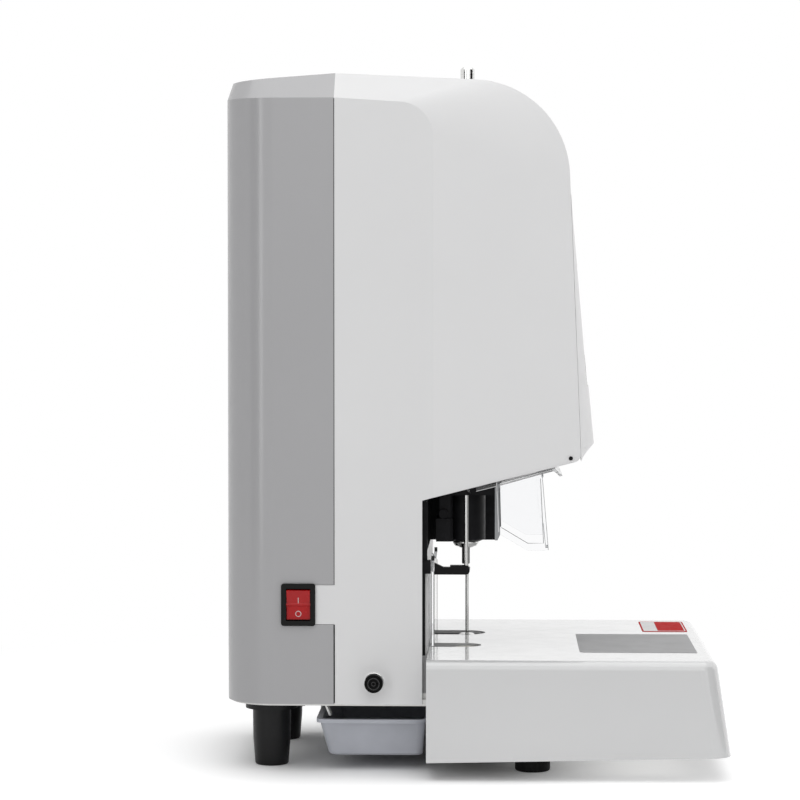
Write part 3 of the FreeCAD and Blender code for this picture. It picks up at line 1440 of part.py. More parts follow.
def backstop():
    """Clear U-shaped paper stop in front of the guide plate."""
    body = new_body("backstop_form")
    half = s.backstop_half_width
    wall = s.backstop_thickness
    front = s.backstop_front
    low = s.table_top + s.backstop_foot_gap
    plan = [
        (plate_front, -half), (front, -half), (front, half), (plate_front, half),
        (plate_front, half - wall), (front - wall, half - wall), (front - wall, wall - half),
        (plate_front, wall - half),
    ]
    extrude(body, "XY_Plane", [plan], low, s.backstop_top - low)
    top = s.backstop_top
    slant = [
        (front + CUT_OVERRUN, top - s.backstop_corner_z), (front, top - s.backstop_corner_z),
        (front - s.backstop_corner_x, top), (front - s.backstop_corner_x, top + CUT_OVERRUN),
        (front + CUT_OVERRUN, top + CUT_OVERRUN),
    ]
    extrude(body, "XZ_Plane", [slant], -half - CUT_OVERRUN, (half + CUT_OVERRUN) * 2, cut=True)
    finish(body, "paper_backstop")


def finger_guard():
    """Clear hinged guard: top sheet with a curled lip between two side cheeks; gives its pins."""
    body = new_body("guard_form")
    half = s.guard_half_width
    wall = s.guard_thickness
    rear = s.guard_side_rear
    drop = s.guard_drop

    def sheet_top(x):
        return underside_at(x) - drop

    lip = s.guard_lip_x
    lip_end = lip + s.guard_lip_drop
    top = [
        (rear, sheet_top(rear) - wall), (rear, sheet_top(rear)), (lip, sheet_top(lip), wall * 2),
        (lip_end, sheet_top(lip) - s.guard_lip_drop),
        (lip_end - wall, sheet_top(lip) - s.guard_lip_drop - wall / 4),
        (lip - wall / 2, sheet_top(lip) - wall, wall),
    ]
    extrude(body, "XZ_Plane", [top], -half, half * 2)
    front = s.guard_side_front
    arm = s.guard_arm_height
    pivot_x = s.guard_pivot_x
    pivot_z = s.guard_pivot_z
    cheek = [
        (pivot_x - arm, pivot_z - arm / 2, arm / 3), (pivot_x - arm, pivot_z + arm / 2, arm / 3),
        (rear, sheet_top(rear)), (front, sheet_top(front) - wall / 2),
        (s.guard_front_foot, s.guard_bottom, wall), (s.guard_bottom_break, s.guard_bottom, wall),
        (rear, s.guard_bottom_rear), (rear - wall, s.guard_bottom_rear - arm),
        (rear - wall * 2, s.guard_bottom_rear - arm),
        (rear - wall * 2, pivot_z - arm / 2 + under_slope * rear),
    ]
    for side in (-1, 1):
        start = half - wall if side > 0 else -half
        extrude(body, "XZ_Plane", [cheek], start, wall)
    pin = [(pivot_x, pivot_z, s.guard_pin_radius + s.guard_pin_gap)]
    extrude(body, "XZ_Plane", pin, -half - CUT_OVERRUN, (half + CUT_OVERRUN) * 2, cut=True)
    finish(body, "finger_guard")
    pins = []
    inner = s.head_plate_half_width - s.guard_pin_depth
    length = half - inner + s.guard_pin_room
    head = s.bolt_head_height / 2
    for side in (-1, 1):
        start = inner if side > 0 else -inner - length
        cap = half + s.guard_pin_room if side > 0 else -half - s.guard_pin_room - head
        shank = rod("guard_pin_shank", "Y", pivot_x, start, pivot_z, s.guard_pin_radius, length)
        button = rod("guard_pin_head", "Y", pivot_x, cap, pivot_z, s.guard_pin_head_radius, head)
        pins.append(fuse("guard_pin", [shank, button]))
    return pins


# ------------------------------------------------------- switch, fuse, socket

def power_switch():
    """Rocker switch in the grey cover: bezel with its body behind, and the rocker."""
    body = new_body("switch_form")
    face = -s.half_width - s.switch_bezel_proud
    half_w = s.switch_bezel_width / 2
    half_h = s.switch_bezel_height / 2
    x, z = s.switch_x, s.switch_z
    bezel = rectangle(x - half_w, z - half_h, x + half_w, z + half_h, s.switch_bezel_proud)
    extrude(body, "XZ_Plane", [bezel], face, s.switch_bezel_proud)
    half_w = s.switch_body_width / 2
    half_h = s.switch_body_height / 2
    extrude(body, "XZ_Plane", [rectangle(x - half_w, z - half_h, x + half_w, z + half_h)],
            -s.half_width, s.switch_body_depth)
    gap = s.rocker_gap
    well_w = s.rocker_width / 2 + gap
    well_h = s.rocker_reach + gap * 2
    well = rectangle(x - well_w, z - well_h, x + well_w, z + well_h)
    extrude(body, "XZ_Plane", [well], face - CUT_OVERRUN, s.rocker_well + CUT_OVERRUN, cut=True)
    seat = (face + s.rocker_pivot_depth, z, s.rocker_pin_radius + s.rocker_pin_gap)
    seat_half = s.rocker_width / 2 + s.rocker_pin_reach + gap
    extrude(body, "YZ_Plane", [seat], x - seat_half, seat_half * 2, cut=True)
    finish(body, "switch_housing")
    rocker = new_body("rocker_form")
    reach = s.rocker_reach
    deep = s.rocker_depth
    crest = s.rocker_crest
    outline = [
        (deep, -deep), (deep, deep), (0, reach), (-crest, reach - gap),
        (-s.rocker_dip, 0), (-crest, -reach + gap), (0, -reach),
    ]
    extrude(rocker, "YZ_Plane", [outline], -s.rocker_width / 2, s.rocker_width)
    pin_half = s.rocker_width / 2 + s.rocker_pin_reach
    extrude(rocker, "YZ_Plane", [(as_dim(0), as_dim(0), s.rocker_pin_radius)], -pin_half, pin_half * 2)
    tilt = FreeCAD.Rotation(FreeCAD.Vector(1, 0, 0), s.rocker_tilt.value)
    place(rocker, x, face + s.rocker_pivot_depth, z, tilt)
    finish(rocker, "switch_rocker")


def fuse_holder():
    """Panel fuse holder in the white cover, with its turning cap."""
    face = -s.half_width
    inward = AXIS_TURNS["Y"]
    body = new_body("fuse_holder_form")
    ring = s.fuse_ring_height
    bore = s.fuse_cap_bore
    depth = s.fuse_body_depth
    turn(body, [
        (bore, -ring), (s.fuse_ring_radius, -ring, s.fuse_edge_radius),
        (s.fuse_ring_radius, 0), (s.fuse_body_radius, 0),
        (s.fuse_body_radius, depth), (0, depth), (0, depth - ring), (bore, depth - ring),
    ])
    place(body, s.fuse_x, face, s.fuse_z, inward)
    finish(body, "fuse_holder")
    cap = new_body("fuse_cap_form")
    gap = s.rocker_gap
    stem = bore - gap
    radius = s.fuse_cap_radius
    height = s.fuse_cap_height
    end = height + s.fuse_stem_length
    edge = s.fuse_edge_radius
    turn(cap, [(0, 0), (radius, 0, edge), (radius, height), (stem, height), (stem, end), (0, end)])
    half_long = s.fuse_slot_half_length
    half_wide = s.fuse_slot_half_width
    extrude(cap, "XY_Plane", [rectangle(-half_long, -half_wide, half_long, half_wide)],
            -CUT_OVERRUN, CUT_OVERRUN + s.fuse_slot_depth, cut=True)
    place(cap, s.fuse_x, face - ring - gap - height, s.fuse_z, inward)
    finish(cap, "fuse_cap")


def power_socket():
    """Appliance inlet in the rear wall with its three flat pins."""
    body = new_body("socket_form")
    y, z = s.inlet_y, s.inlet_z
    face = rear_x

    def panel(width, height, radius=None):
        return rectangle(y - width / 2, z - height / 2, y + width / 2, z + height / 2, radius)

    flange = panel(s.socket_flange_width, s.socket_flange_height, s.socket_flange_thickness)
    extrude(body, "YZ_Plane", [flange], rear_x + s.cover_wall, s.socket_flange_thickness)
    shroud = panel(s.socket_body_width, s.socket_body_height)
    extrude(body, "YZ_Plane", [shroud], rear_x, s.socket_body_depth)
    recess = panel(s.socket_recess_width, s.socket_recess_height, s.socket_flange_thickness)
    depth = s.socket_recess_depth
    extrude(body, "YZ_Plane", [recess], face - CUT_OVERRUN, depth + CUT_OVERRUN, cut=True)
    floor = face + depth
    pins = []
    for offset, lift in ((-1, -1), (0, 1), (1, -1)):
        mid_y = y + s.socket_pin_pitch * offset
        mid_z = z + s.socket_pin_width * lift
        half_w = s.socket_pin_width / 2
        half_h = s.socket_pin_height / 2
        pins.append(box("socket_pin", floor - s.socket_pin_length, floor, mid_y - half_w, mid_y + half_w,
                        mid_z - half_h, mid_z + half_h))
    finish(fuse("power_socket_shape", [body] + pins), "power_socket")


# ---------------------------------------------------------------- electrics

def electrics():
    """Power supply on the base plate, main board behind the column web; gives its standoffs."""
    supply = new_body("supply_form")
    half = s.supply_half_width
    outline = rectangle(s.supply_rear, -half, s.supply_rear + s.supply_length, half, s.foot_edge_radius)
    extrude(supply, "XY_Plane", [outline], base_top, s.supply_height)
    finish(supply, "power_supply")
    board = new_body("main_board_form")
    back = web_rear - s.standoff_length - s.board_thickness
    half = s.main_board_half_width
    low = s.main_board_bottom
    extrude(board, "YZ_Plane", [rectangle(-half, low, half, low + s.main_board_height)], back,
            s.board_thickness)
    finish(board, "main_board")
    posts = []
    inset = s.standoff_radius * 2
    for side in (-1, 1):
        for z in (low + inset, low + s.main_board_height - inset):
            posts.append(rod("standoff", "X", back + s.board_thickness, (half - inset) * side, z,
                             s.standoff_radius, s.standoff_length))
    return posts


def chip_chute():
    """Folded duct behind the web that drops the chips into the tray."""
    body = new_body("chute_form")
    half = s.chute_width / 2
    y = -s.station_y
    back = web_rear - s.chute_depth
    wall = s.chute_wall
    outline = [
        (web_rear, y - half), (back, y - half), (back, y + half), (web_rear, y + half),
        (web_rear, y + half - wall), (back + wall, y + half - wall), (back + wall, y - half + wall),
        (web_rear, y - half + wall),
    ]
    extrude(body, "XY_Plane", [outline], base_top, s.chute_top - base_top)
    finish(body, "chip_chute")


# ---------------------------------------------------------------- fasteners

def screw_heads(name, seats):
    """Heads of upright cap screws, standing on the given places."""
    return [rod(name, "Z", x, y, z, s.bolt_head_radius, s.bolt_head_height) for x, y, z in seats]


def fasteners(loose):
    """Screws under the base plate and on the lift motors, with the given pins and standoffs."""
    under = []
    for x in (s.tray_rear - s.rear_foot_bottom_radius, web_rear - s.flange_depth):
        for side in (-1, 1):
            under.append((x, (s.web_half_width - s.bolt_head_radius * 1.5) * side,
                          s.base_bottom - s.bolt_head_height))
    upper = []
    half = s.lift_motor_side / 2 - s.lift_motor_corner
    for side in (-1, 1):
        for along in (-1, 1):
            for across in (-1, 1):
                upper.append((s.shaft_x + half * along, s.station_y * side + half * across,
                              top_plate_top + s.lift_motor_height))
    items = screw_heads("base_screw", under) + screw_heads("motor_screw", upper) + loose
    finish(group("fastener_group", items), "fasteners")


# ---------------------------------------------------------------- assembly

def build():
    rear_cover()
    front_cover()
    front_panel()
    control_bezel()
    display_and_keys()
    control_board()
    base_plate()
    table_cover()
    table_frame()
    feet()
    tray()
    tray_rails()
    column_frame()
    column_plates()
    head_plate()
    top_plate()
    guide_shafts()
    lift_drives()
    drill_head()
    rivet_head()
    lower_tools()
    presser()
    backstop()
    pins = finger_guard()
    power_switch()
    fuse_holder()
    power_socket()
    standoffs = electrics()
    chip_chute()
    fasteners(pins + standoffs)


def check():
    """Stops when any object failed or any sub-part is empty or not valid."""
    doc.recompute()
    faults = []
    for item in doc.Objects:
        if "Invalid" in item.State or "Error" in item.State:
            faults.append("%s: %s" % (item.Name, item.State))
    for item in SUBPARTS:
        if item.Shape.isNull() or not item.Shape.isValid() or not item.Shape.Solids:
            faults.append("%s: no valid solid" % item.Label)
    if faults:
        raise RuntimeError("failed objects:\n" + "\n".join(faults))


def write():
    os.makedirs("parts", exist_ok=True)
    for item in SUBPARTS:
        item.Shape.exportStep("parts/%s.step" % item.Label)
        print(item.Label, len(item.Shape.Solids), round(item.Shape.Volume, 1))


build()
check()
write()
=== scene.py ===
import json
import math

import bmesh
import bpy
from mathutils import Matrix, Vector

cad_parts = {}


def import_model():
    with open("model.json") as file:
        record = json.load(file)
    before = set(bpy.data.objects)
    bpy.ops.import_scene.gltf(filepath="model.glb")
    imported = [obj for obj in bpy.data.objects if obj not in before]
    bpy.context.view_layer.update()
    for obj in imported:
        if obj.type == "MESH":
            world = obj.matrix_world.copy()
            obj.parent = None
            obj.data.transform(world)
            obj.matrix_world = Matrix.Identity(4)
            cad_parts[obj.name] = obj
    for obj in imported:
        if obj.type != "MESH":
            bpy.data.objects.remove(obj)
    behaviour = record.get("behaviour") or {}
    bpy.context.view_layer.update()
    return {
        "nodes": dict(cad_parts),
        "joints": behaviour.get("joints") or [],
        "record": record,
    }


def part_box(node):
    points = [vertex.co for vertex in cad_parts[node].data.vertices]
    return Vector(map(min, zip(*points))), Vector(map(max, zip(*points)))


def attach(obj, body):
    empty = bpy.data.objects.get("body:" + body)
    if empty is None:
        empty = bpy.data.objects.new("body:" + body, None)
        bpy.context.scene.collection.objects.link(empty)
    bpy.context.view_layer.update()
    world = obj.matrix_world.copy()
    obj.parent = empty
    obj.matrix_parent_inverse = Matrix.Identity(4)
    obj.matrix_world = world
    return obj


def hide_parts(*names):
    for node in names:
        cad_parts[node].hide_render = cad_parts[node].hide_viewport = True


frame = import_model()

# Looks of the document riveting machine.  Metres, +X towards the operator,
# -Y towards the switch side (near), +Z up, floor at Z = 0.

NODES = frame["nodes"]
MM = 0.001

# camera: on the switch side, square to the machine, a little above its middle
CAMERA_PLACE = Vector((0.01796, -2.1786, 0.3519))
CAMERA_YAW = math.radians(2.054)
CAMERA_PITCH = math.radians(1.985)
CAMERA_LENS = 125.24
SENSOR_WIDTH = 36.0
CAMERA_REACH = 50.0

# lamps: name, place, what it points at, size, watts
LAMPS = (
    ("lamp_top", (0.1, -0.3, 2.0), (0.0, 0.0, 0.2), (2.4, 2.4), 24.0),
    ("lamp_side", (0.5, -2.4, 1.3), (0.0, 0.0, 0.25), (2.0, 1.6), 7.5),
    ("lamp_front", (2.2, -0.2, 1.0), (0.0, 0.0, 0.25), (1.6, 1.6), 8.0),
    ("lamp_rear", (-1.3, -1.9, 0.7), (-0.1, 0.0, 0.3), (0.3, 1.6), 5.0),
)
AMBIENT = 0.325

# black flags beside the camera: name, centre, size
CARDS = (
    ("stage_card_left", (-1.5, -1.3, 0.35), (0.7, 1.8)),
    ("stage_card_right", (1.5, -0.45, 0.35), (1.4, 1.8)),
)

# floor: a round plate that turns plain white between two radii.  Nearer, it is
# lifted towards white by FLOOR_LIFT, except on and round the patch of floor
# between SHADE_LOW and SHADE_HIGH, where the shadow stays as it falls
FLOOR_RADIUS = 6.0
FLOOR_SIDES = 96
FLOOR_COLOUR = (0.95, 0.95, 0.952, 1.0)
FLOOR_NEAR = 0.3
FLOOR_FAR = 0.8
FLOOR_LIFT = 0.42
SHADE_LOW = (-0.12, -0.08)
SHADE_HIGH = (0.0, 0.06)
SHADE_FADE = 0.13

WHITE = (1.0, 1.0, 1.0, 1.0)
BLACK = (0.0, 0.0, 0.0, 1.0)


# ---------------------------------------------------------------- materials

class Paint:
    """Builds a material on one shader from a few plain calls."""

    def __init__(self, name, colour, roughness, metallic=0.0):
        self.material = bpy.data.materials.new(name)
        self.material.use_nodes = True
        self.tree = self.material.node_tree
        self.shader = self.tree.nodes["Principled BSDF"]
        self.colour = colour
        self.set("Base Color", (*colour, 1.0))
        self.set("Roughness", roughness)
        self.set("Metallic", metallic)
        self.coordinates = self.node("ShaderNodeTexCoord").outputs["Object"]

    def node(self, kind, **settings):
        made = self.tree.nodes.new(kind)
        for key, value in settings.items():
            setattr(made, key, value)
        return made

    def link(self, start, end):
        self.tree.links.new(start, end)

    def set(self, socket, value):
        self.shader.inputs[socket].default_value = value

    def stretched(self, scale):
        """Object coordinates times a scale for each axis."""
        mapping = self.node("ShaderNodeMapping")
        mapping.inputs["Scale"].default_value = scale
        self.link(self.coordinates, mapping.inputs["Vector"])
        return mapping.outputs["Vector"]

    def noise(self, scale, detail, stretch=None):
        """Cloudy values, with scale clouds to the metre."""
        made = self.node("ShaderNodeTexNoise")
        made.inputs["Scale"].default_value = scale
        made.inputs["Detail"].default_value = detail
        place = self.stretched(stretch) if stretch else self.coordinates
        self.link(place, made.inputs["Vector"])
        return made.outputs["Fac"]

    def ramp(self, value, low, high, start, end):
        """Maps start..end of a value to low..high."""
        made = self.node("ShaderNodeMapRange")
        made.inputs["From Min"].default_value = start
        made.inputs["From Max"].default_value = end
        made.inputs["To Min"].default_value = low
        made.inputs["To Max"].default_value = high
        self.link(value, made.inputs["Value"])
        return made.outputs["Result"]

    def tint(self, value, darker, lighter, start=0.3, end=0.7):
        """Varies the base colour between two multiples of itself."""
        made = self.node("ShaderNodeMix", data_type="RGBA")
        made.inputs["A"].default_value = (*shade(self.colour, darker), 1.0)
        made.inputs["B"].default_value = (*shade(self.colour, lighter), 1.0)
        self.link(self.ramp(value, 0.0, 1.0, start, end), made.inputs["Factor"])
        self.link(made.outputs["Result"], self.shader.inputs["Base Color"])

    def rough(self, value, low, high, start=0.3, end=0.7):
        """Varies the roughness from low to high."""
        self.link(self.ramp(value, low, high, start, end), self.shader.inputs["Roughness"])

    def bump(self, value, distance, strength):
        """Bumps the surface by up to a distance in metres."""
        made = self.node("ShaderNodeBump")
        made.inputs["Strength"].default_value = strength
        made.inputs["Distance"].default_value = distance
        self.link(value, made.inputs["Height"])
        self.link(made.outputs["Normal"], self.shader.inputs["Normal"])


def shade(colour, factor):
    """A colour times a factor."""
    return tuple(min(1.0, part * factor) for part in colour)


def powder_coat(name, colour, roughness=0.42, grain=0.06 * MM, coat=0.0, coat_roughness=0.05):
    """Stoved powder paint: faint orange peel, slightly uneven gloss, and clear lacquer where asked."""
    paint = Paint(name, colour, roughness)
    paint.set("Specular IOR Level", 0.42)
    if coat:
        paint.set("Coat Weight", coat)
        paint.set("Coat Roughness", coat_roughness)
        paint.set("Coat IOR", 1.6)
    paint.tint(paint.noise(scale=7.0, detail=4.0), darker=0.985, lighter=1.012)
    paint.rough(paint.noise(scale=60.0, detail=2.0), roughness - 0.04, roughness + 0.05)
    paint.bump(paint.noise(scale=700.0, detail=2.0), grain, strength=0.35)
    return paint.material


def moulded(name, colour, roughness=0.45, grain=0.08 * MM, scale=500.0, gloss=0.5):
    """Injection-moulded plastic with a fine spark-eroded texture."""
    paint = Paint(name, colour, roughness)
    paint.set("Specular IOR Level", gloss)
    paint.tint(paint.noise(scale=40.0, detail=3.0), darker=0.94, lighter=1.06)
    paint.rough(paint.noise(scale=240.0, detail=2.0), roughness - 0.05, roughness + 0.06)
    if grain:
        paint.bump(paint.noise(scale, detail=2.0), grain, strength=0.5)
    return paint.material


def brushed(name, colour, roughness=0.3, stretch=(1.0, 1.0, 40.0), scale=60.0):
    """Metal with fine lines across the stretched axis."""
    paint = Paint(name, colour, roughness, metallic=1.0)
    lines = paint.noise(scale, detail=3.0, stretch=stretch)
    paint.tint(lines, darker=0.9, lighter=1.08)
    paint.rough(lines, roughness - 0.06, roughness + 0.08)
    paint.bump(lines, 0.03 * MM, strength=0.4)
    return paint.material


def polished(name, colour, roughness=0.14):
    """Ground and polished rod: mirror bright, with faint lines along it."""
    paint = Paint(name, colour, roughness, metallic=1.0)
    lines = paint.noise(scale=700.0, detail=2.0, stretch=(1.0, 1.0, 0.04))
    paint.tint(lines, darker=0.97, lighter=1.02)
    paint.rough(lines, roughness - 0.02, roughness + 0.03)
    return paint.material


def black_oxide(name, colour, roughness=0.4, gloss=0.1):
    """Blackened steel: dark, low gloss, with slightly lighter handling marks."""
    paint = Paint(name, colour, roughness)
    paint.set("Specular IOR Level", gloss)
    marks = paint.noise(scale=90.0, detail=6.0)
    paint.tint(marks, darker=0.75, lighter=1.7, start=0.35, end=0.75)
    paint.rough(paint.noise(scale=220.0, detail=3.0), roughness - 0.08, roughness + 0.1)
    paint.bump(paint.noise(scale=900.0, detail=2.0), 0.05 * MM, strength=0.4)
    return paint.material


def clear_sheet(name, colour, roughness=0.03, clearness=1.0):
    """Clear plastic sheet, lightly scratched."""
    paint = Paint(name, colour, roughness)
    paint.set("Transmission Weight", clearness)
    paint.set("IOR", 1.46)
    scratches = paint.noise(scale=30.0, detail=5.0)
    paint.rough(scratches, roughness * 0.5, roughness * 2.0, start=0.4, end=0.8)
    paint.bump(paint.noise(scale=25.0, detail=2.0), 0.04 * MM, strength=0.15)
    return paint.material


def circuit_board(name, colour):
    """Green lacquer over tracks and bare patches."""
    paint = Paint(name, colour, roughness=0.3)
    tracks = paint.noise(scale=120.0, detail=1.0)
    paint.tint(tracks, darker=0.6, lighter=1.4, start=0.45, end=0.55)
    paint.bump(paint.noise(scale=400.0, detail=1.0), 0.05 * MM, strength=0.5)
    return paint.material


# name: how it is made, colour, and what differs from that finish's usual values
FINISHES = {
    "white_paint": (powder_coat, (0.785, 0.785, 0.788), {}),
    "gray_paint": (powder_coat, (0.395, 0.393, 0.402), {"coat": 0.5, "coat_roughness": 0.18}),
    "table_white": (powder_coat, (0.665, 0.667, 0.67), {"roughness": 0.2, "grain": 0.01 * MM, "coat": 1.0}),
    "panel_gloss": (powder_coat, (0.765, 0.763, 0.767), {"roughness": 0.34, "grain": 0.01 * MM}),
    "bezel_black": (moulded, (0.02, 0.02, 0.022), {"roughness": 0.2, "grain": 0.02 * MM}),
    "window_tinted": (moulded, (0.025, 0.032, 0.034), {"roughness": 0.08, "grain": 0.01 * MM}),
    "board_green": (circuit_board, (0.02, 0.12, 0.05), {}),
    "steel_plate": (brushed, (0.55, 0.55, 0.54), {"roughness": 0.38, "stretch": (1.0, 30.0, 1.0)}),
    "steel_bright": (brushed, (0.72, 0.72, 0.71),
                     {"roughness": 0.16, "stretch": (1.0, 1.0, 30.0), "scale": 90.0}),
    "steel_dark": (black_oxide, (0.006, 0.006, 0.007), {}),
    "wear_face": (powder_coat, (0.8, 0.8, 0.795), {"roughness": 0.3, "grain": 0.02 * MM}),
    "press_black": (black_oxide, (0.004, 0.004, 0.0045), {"roughness": 0.34, "gloss": 0.13}),
    "guide_black": (black_oxide, (0.02, 0.02, 0.021), {"roughness": 0.6, "gloss": 0.0}),
    "chrome": (polished, (0.6, 0.6, 0.59), {}),
    "aluminium_plate": (brushed, (0.7, 0.71, 0.72), {"roughness": 0.34, "stretch": (30.0, 1.0, 1.0)}),
    "brass_nut": (brushed, (0.62, 0.42, 0.14), {"roughness": 0.25}),
    "motor_black": (black_oxide, (0.03, 0.03, 0.032), {}),
    "supply_case": (moulded, (0.4, 0.41, 0.42), {"roughness": 0.4}),
    "nylon_white": (moulded, (0.78, 0.77, 0.72), {"roughness": 0.4, "grain": 0.02 * MM}),
    "pad_plastic": (moulded, (0.7, 0.68, 0.6), {}),
    "tray_gray": (moulded, (0.44, 0.455, 0.5), {"roughness": 0.34, "grain": 0.05 * MM, "scale": 420.0}),
    "rubber_black": (moulded, (0.006, 0.006, 0.006), {"roughness": 0.6, "gloss": 0.2}),
    "foot_black": (moulded, (0.006, 0.006, 0.0065),
                   {"roughness": 0.4, "grain": 0.04 * MM, "scale": 400.0, "gloss": 0.22}),
    "switch_black": (moulded, (0.005, 0.005, 0.005), {"roughness": 0.36, "grain": 0.0, "gloss": 0.15}),
    "rocker_red": (moulded, (0.44, 0.006, 0.008), {"roughness": 0.22, "grain": 0.0, "gloss": 0.3}),
    "cap_black": (moulded, (0.004, 0.004, 0.004), {"grain": 0.0, "gloss": 0.05}),
    "socket_black": (moulded, (0.02, 0.02, 0.02), {"roughness": 0.5}),
    "guard_clear": (clear_sheet, (0.962, 0.964, 0.97), {"roughness": 0.02}),
    # painted shade: gray, less clear copies of the clear sheet, for the guard's edges, rear strips and top
    # sheet and for the backstop's ears
    "guard_edge": (clear_sheet, (0.4, 0.41, 0.42), {"roughness": 0.2, "clearness": 0.25}),
    "guard_sheet": (clear_sheet, (0.6, 0.61, 0.62), {"roughness": 0.1, "clearness": 0.75}),
    "backstop_clear": (clear_sheet, (0.97, 0.975, 0.98), {}),
    # white of the rocker's printed marks, and also of the painted glints on the clear guard
    "mark_white": (moulded, (0.8, 0.8, 0.8), {"roughness": 0.5, "grain": 0.0, "gloss": 0.2}),
    "plate_silver": (moulded, (0.44, 0.44, 0.445), {"roughness": 0.6, "grain": 0.0, "gloss": 0.12}),
    "plate_red": (moulded, (0.5, 0.008, 0.01), {"roughness": 0.6, "grain": 0.0, "gloss": 0.05}),
    # painted shade and painted reflection: dark and gray lines on the cut edges and folds of the clear
    # sheets
    "edge_dark": (moulded, (0.09, 0.092, 0.095), {"roughness": 0.3, "grain": 0.0}),
    "edge_light": (moulded, (0.42, 0.43, 0.44), {"roughness": 0.25, "grain": 0.0}),
    # on the fuse cap's ring and hub this lighter gray is a painted glint
    "ring_gray": (moulded, (0.04, 0.04, 0.041), {"roughness": 0.3, "grain": 0.0, "gloss": 0.3}),
    "seam_shadow": (moulded, (0.02, 0.02, 0.021), {"roughness": 0.7, "grain": 0.02 * MM, "gloss": 0.0}),
    "key_gray": (moulded, (0.12, 0.13, 0.15), {"roughness": 0.5}),
    "chute_gray": (moulded, (0.12, 0.125, 0.13), {"roughness": 0.5}),
}
MATERIALS = {
    name: finish(name, colour, **settings)
    for name, (finish, colour, settings) in FINISHES.items()
}

# nodes that don't look like the other nodes of their slot
OWN_MATERIAL = {
    "table_cover": "table_white",
    "presser_rail": "steel_dark",
    "fuse_cap": "cap_black",
    "guide_plate": "guide_black",
    "presser_rods": "chrome",
    "guide_needle": "chrome",
    "drill_bit": "press_black",
}


def dress_nodes():
    """Gives every CAD node the detailed material of its slot, or its own variant of it."""
    for entry in frame["record"]["subparts"]:
        name = entry["node"]
        material = MATERIALS[OWN_MATERIAL.get(name, entry["material_slot"])]
        for place in NODES[name].material_slots:
            place.material = material


# ------------------------------------------------------------ shaping tools

def pivot(joint_name):
    """A point on a joint's axis, from the frame."""
    return next(Vector(joint["pos_m"]) for joint in frame["joints"] if joint["name"] == joint_name)


def box_mm(node_name):
    """The lowest and highest corners of a node, in millimetres to two places."""
    return [Vector([round(part / MM, 2) for part in corner]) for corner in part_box(node_name)]


def add_mesh(name, form, materials):
    """Turns a bmesh into an object of the scene."""
    mesh = bpy.data.meshes.new(name)
    form.to_mesh(mesh)
    form.free()
    for material in materials:
        mesh.materials.append(material)
    made = bpy.data.objects.new(name, mesh)
    bpy.context.scene.collection.objects.link(made)
    return made


def piece(name, form, materials, body):
    """Turns a bmesh into a piece that rides on a body."""
    made = add_mesh(name, form, [MATERIALS[material] for material in materials])
    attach(made, body)
    return made


def outward(form):
    """Turns every face of a closed form to the outside."""
    bmesh.ops.recalc_face_normals(form, faces=form.faces)


def node_form(node_name):
    """A bmesh of a node's own mesh, for a piece that replaces it."""
    node = NODES[node_name]
    form = bmesh.new()
    form.from_mesh(node.data)
    form.transform(node.matrix_world)
    return form


def add_loop(form, place, normal):
    """Adds a loop of points all round a form, where a plane meets it."""
    geometry = list(form.verts) + list(form.edges) + list(form.faces)
    bmesh.ops.bisect_plane(form, geom=geometry, plane_co=place, plane_no=normal)


def circle(radius, steps):
    """Points (u, v) on a circle."""
    turns = [2 * math.pi * step / steps for step in range(steps)]
    return [(radius * math.cos(turn), radius * math.sin(turn)) for turn in turns]


def rounded_outline(low, high, radii, steps=6):
    """Corners of a rectangle, each turned into an arc of its own radius."""
    points = []
    corners = (
        (low[0], low[1], 180),
        (high[0], low[1], 270),
        (high[0], high[1], 0),
        (low[0], high[1], 90),
    )
    for (x, y, start), radius in zip(corners, radii):
        cx = x + (radius if x == low[0] else -radius)
        cy = y + (radius if y == low[1] else -radius)
        for step in range(steps + 1):
            angle = math.radians(start + 90.0 * step / steps)
            points.append((cx + radius * math.cos(angle), cy + radius * math.sin(angle)))
    return points


def slab(form, outline, depth, place, material=0):
    """Extrudes an outline of (u, v) points by depth; place maps (u, v, w) to a point."""
    low = [form.verts.new(place(u, v, 0.0)) for u, v in outline]
    high = [form.verts.new(place(u, v, depth)) for u, v in outline]
    faces = [form.faces.new(high), form.faces.new(list(reversed(low)))]
    for index in range(len(outline)):
        after = (index + 1) % len(outline)
        faces.append(form.faces.new((low[index], low[after], high[after], high[index])))
    for face in faces:
        face.material_index = material


def ring(form, place, outer, inner, depth, steps=28):
    """A flat ring made of four strips all round."""
    rims = []
    for radius, level in ((outer, 0.0), (outer, depth), (inner, depth), (inner, 0.0)):
        rims.append([form.verts.new(place(u, v, level)) for u, v in circle(radius, steps)])
    for index, rim in enumerate(rims):
        other = rims[(index + 1) % len(rims)]
        for step in range(steps):
            after = (step + 1) % steps
            form.faces.new((rim[step], rim[after], other[after], other[step]))


def tube(form, points, radius, sides=8):
    """A thin round line through points, with closed ends."""
    rings = []
    for index, point in enumerate(points):
        before = points[max(index - 1, 0)]
        after = points[min(index + 1, len(points) - 1)]
        along = (after - before).normalized()
        across = along.orthogonal().normalized()
        other = along.cross(across)
        rings.append([
            form.verts.new(point + (across * u + other * v) * radius)
            for u, v in circle(1.0, sides)
        ])
    for one, two in zip(rings, rings[1:]):
        for side in range(sides):
            after = (side + 1) % sides
            form.faces.new((one[side], one[after], two[after], two[side]))
    form.faces.new(list(reversed(rings[0])))
    form.faces.new(rings[-1])


def line_piece(name, paths, radius, material, body):
    """Thin round lines, such as the dark edge of a clear sheet, as one piece; millimetres."""
    form = bmesh.new()
    for path in paths:
        tube(form, [Vector(point) * MM for point in path], radius * MM)
    outward(form)
    piece(name, form, [material], body)


# ---------------------------------------------------------- pieces on the table

TABLE_TOP_Z = box_mm("table_cover")[1].z * MM


def on_table(u, v, w):
    """A point w above the table top."""
    return Vector((u, v, TABLE_TOP_Z + w))


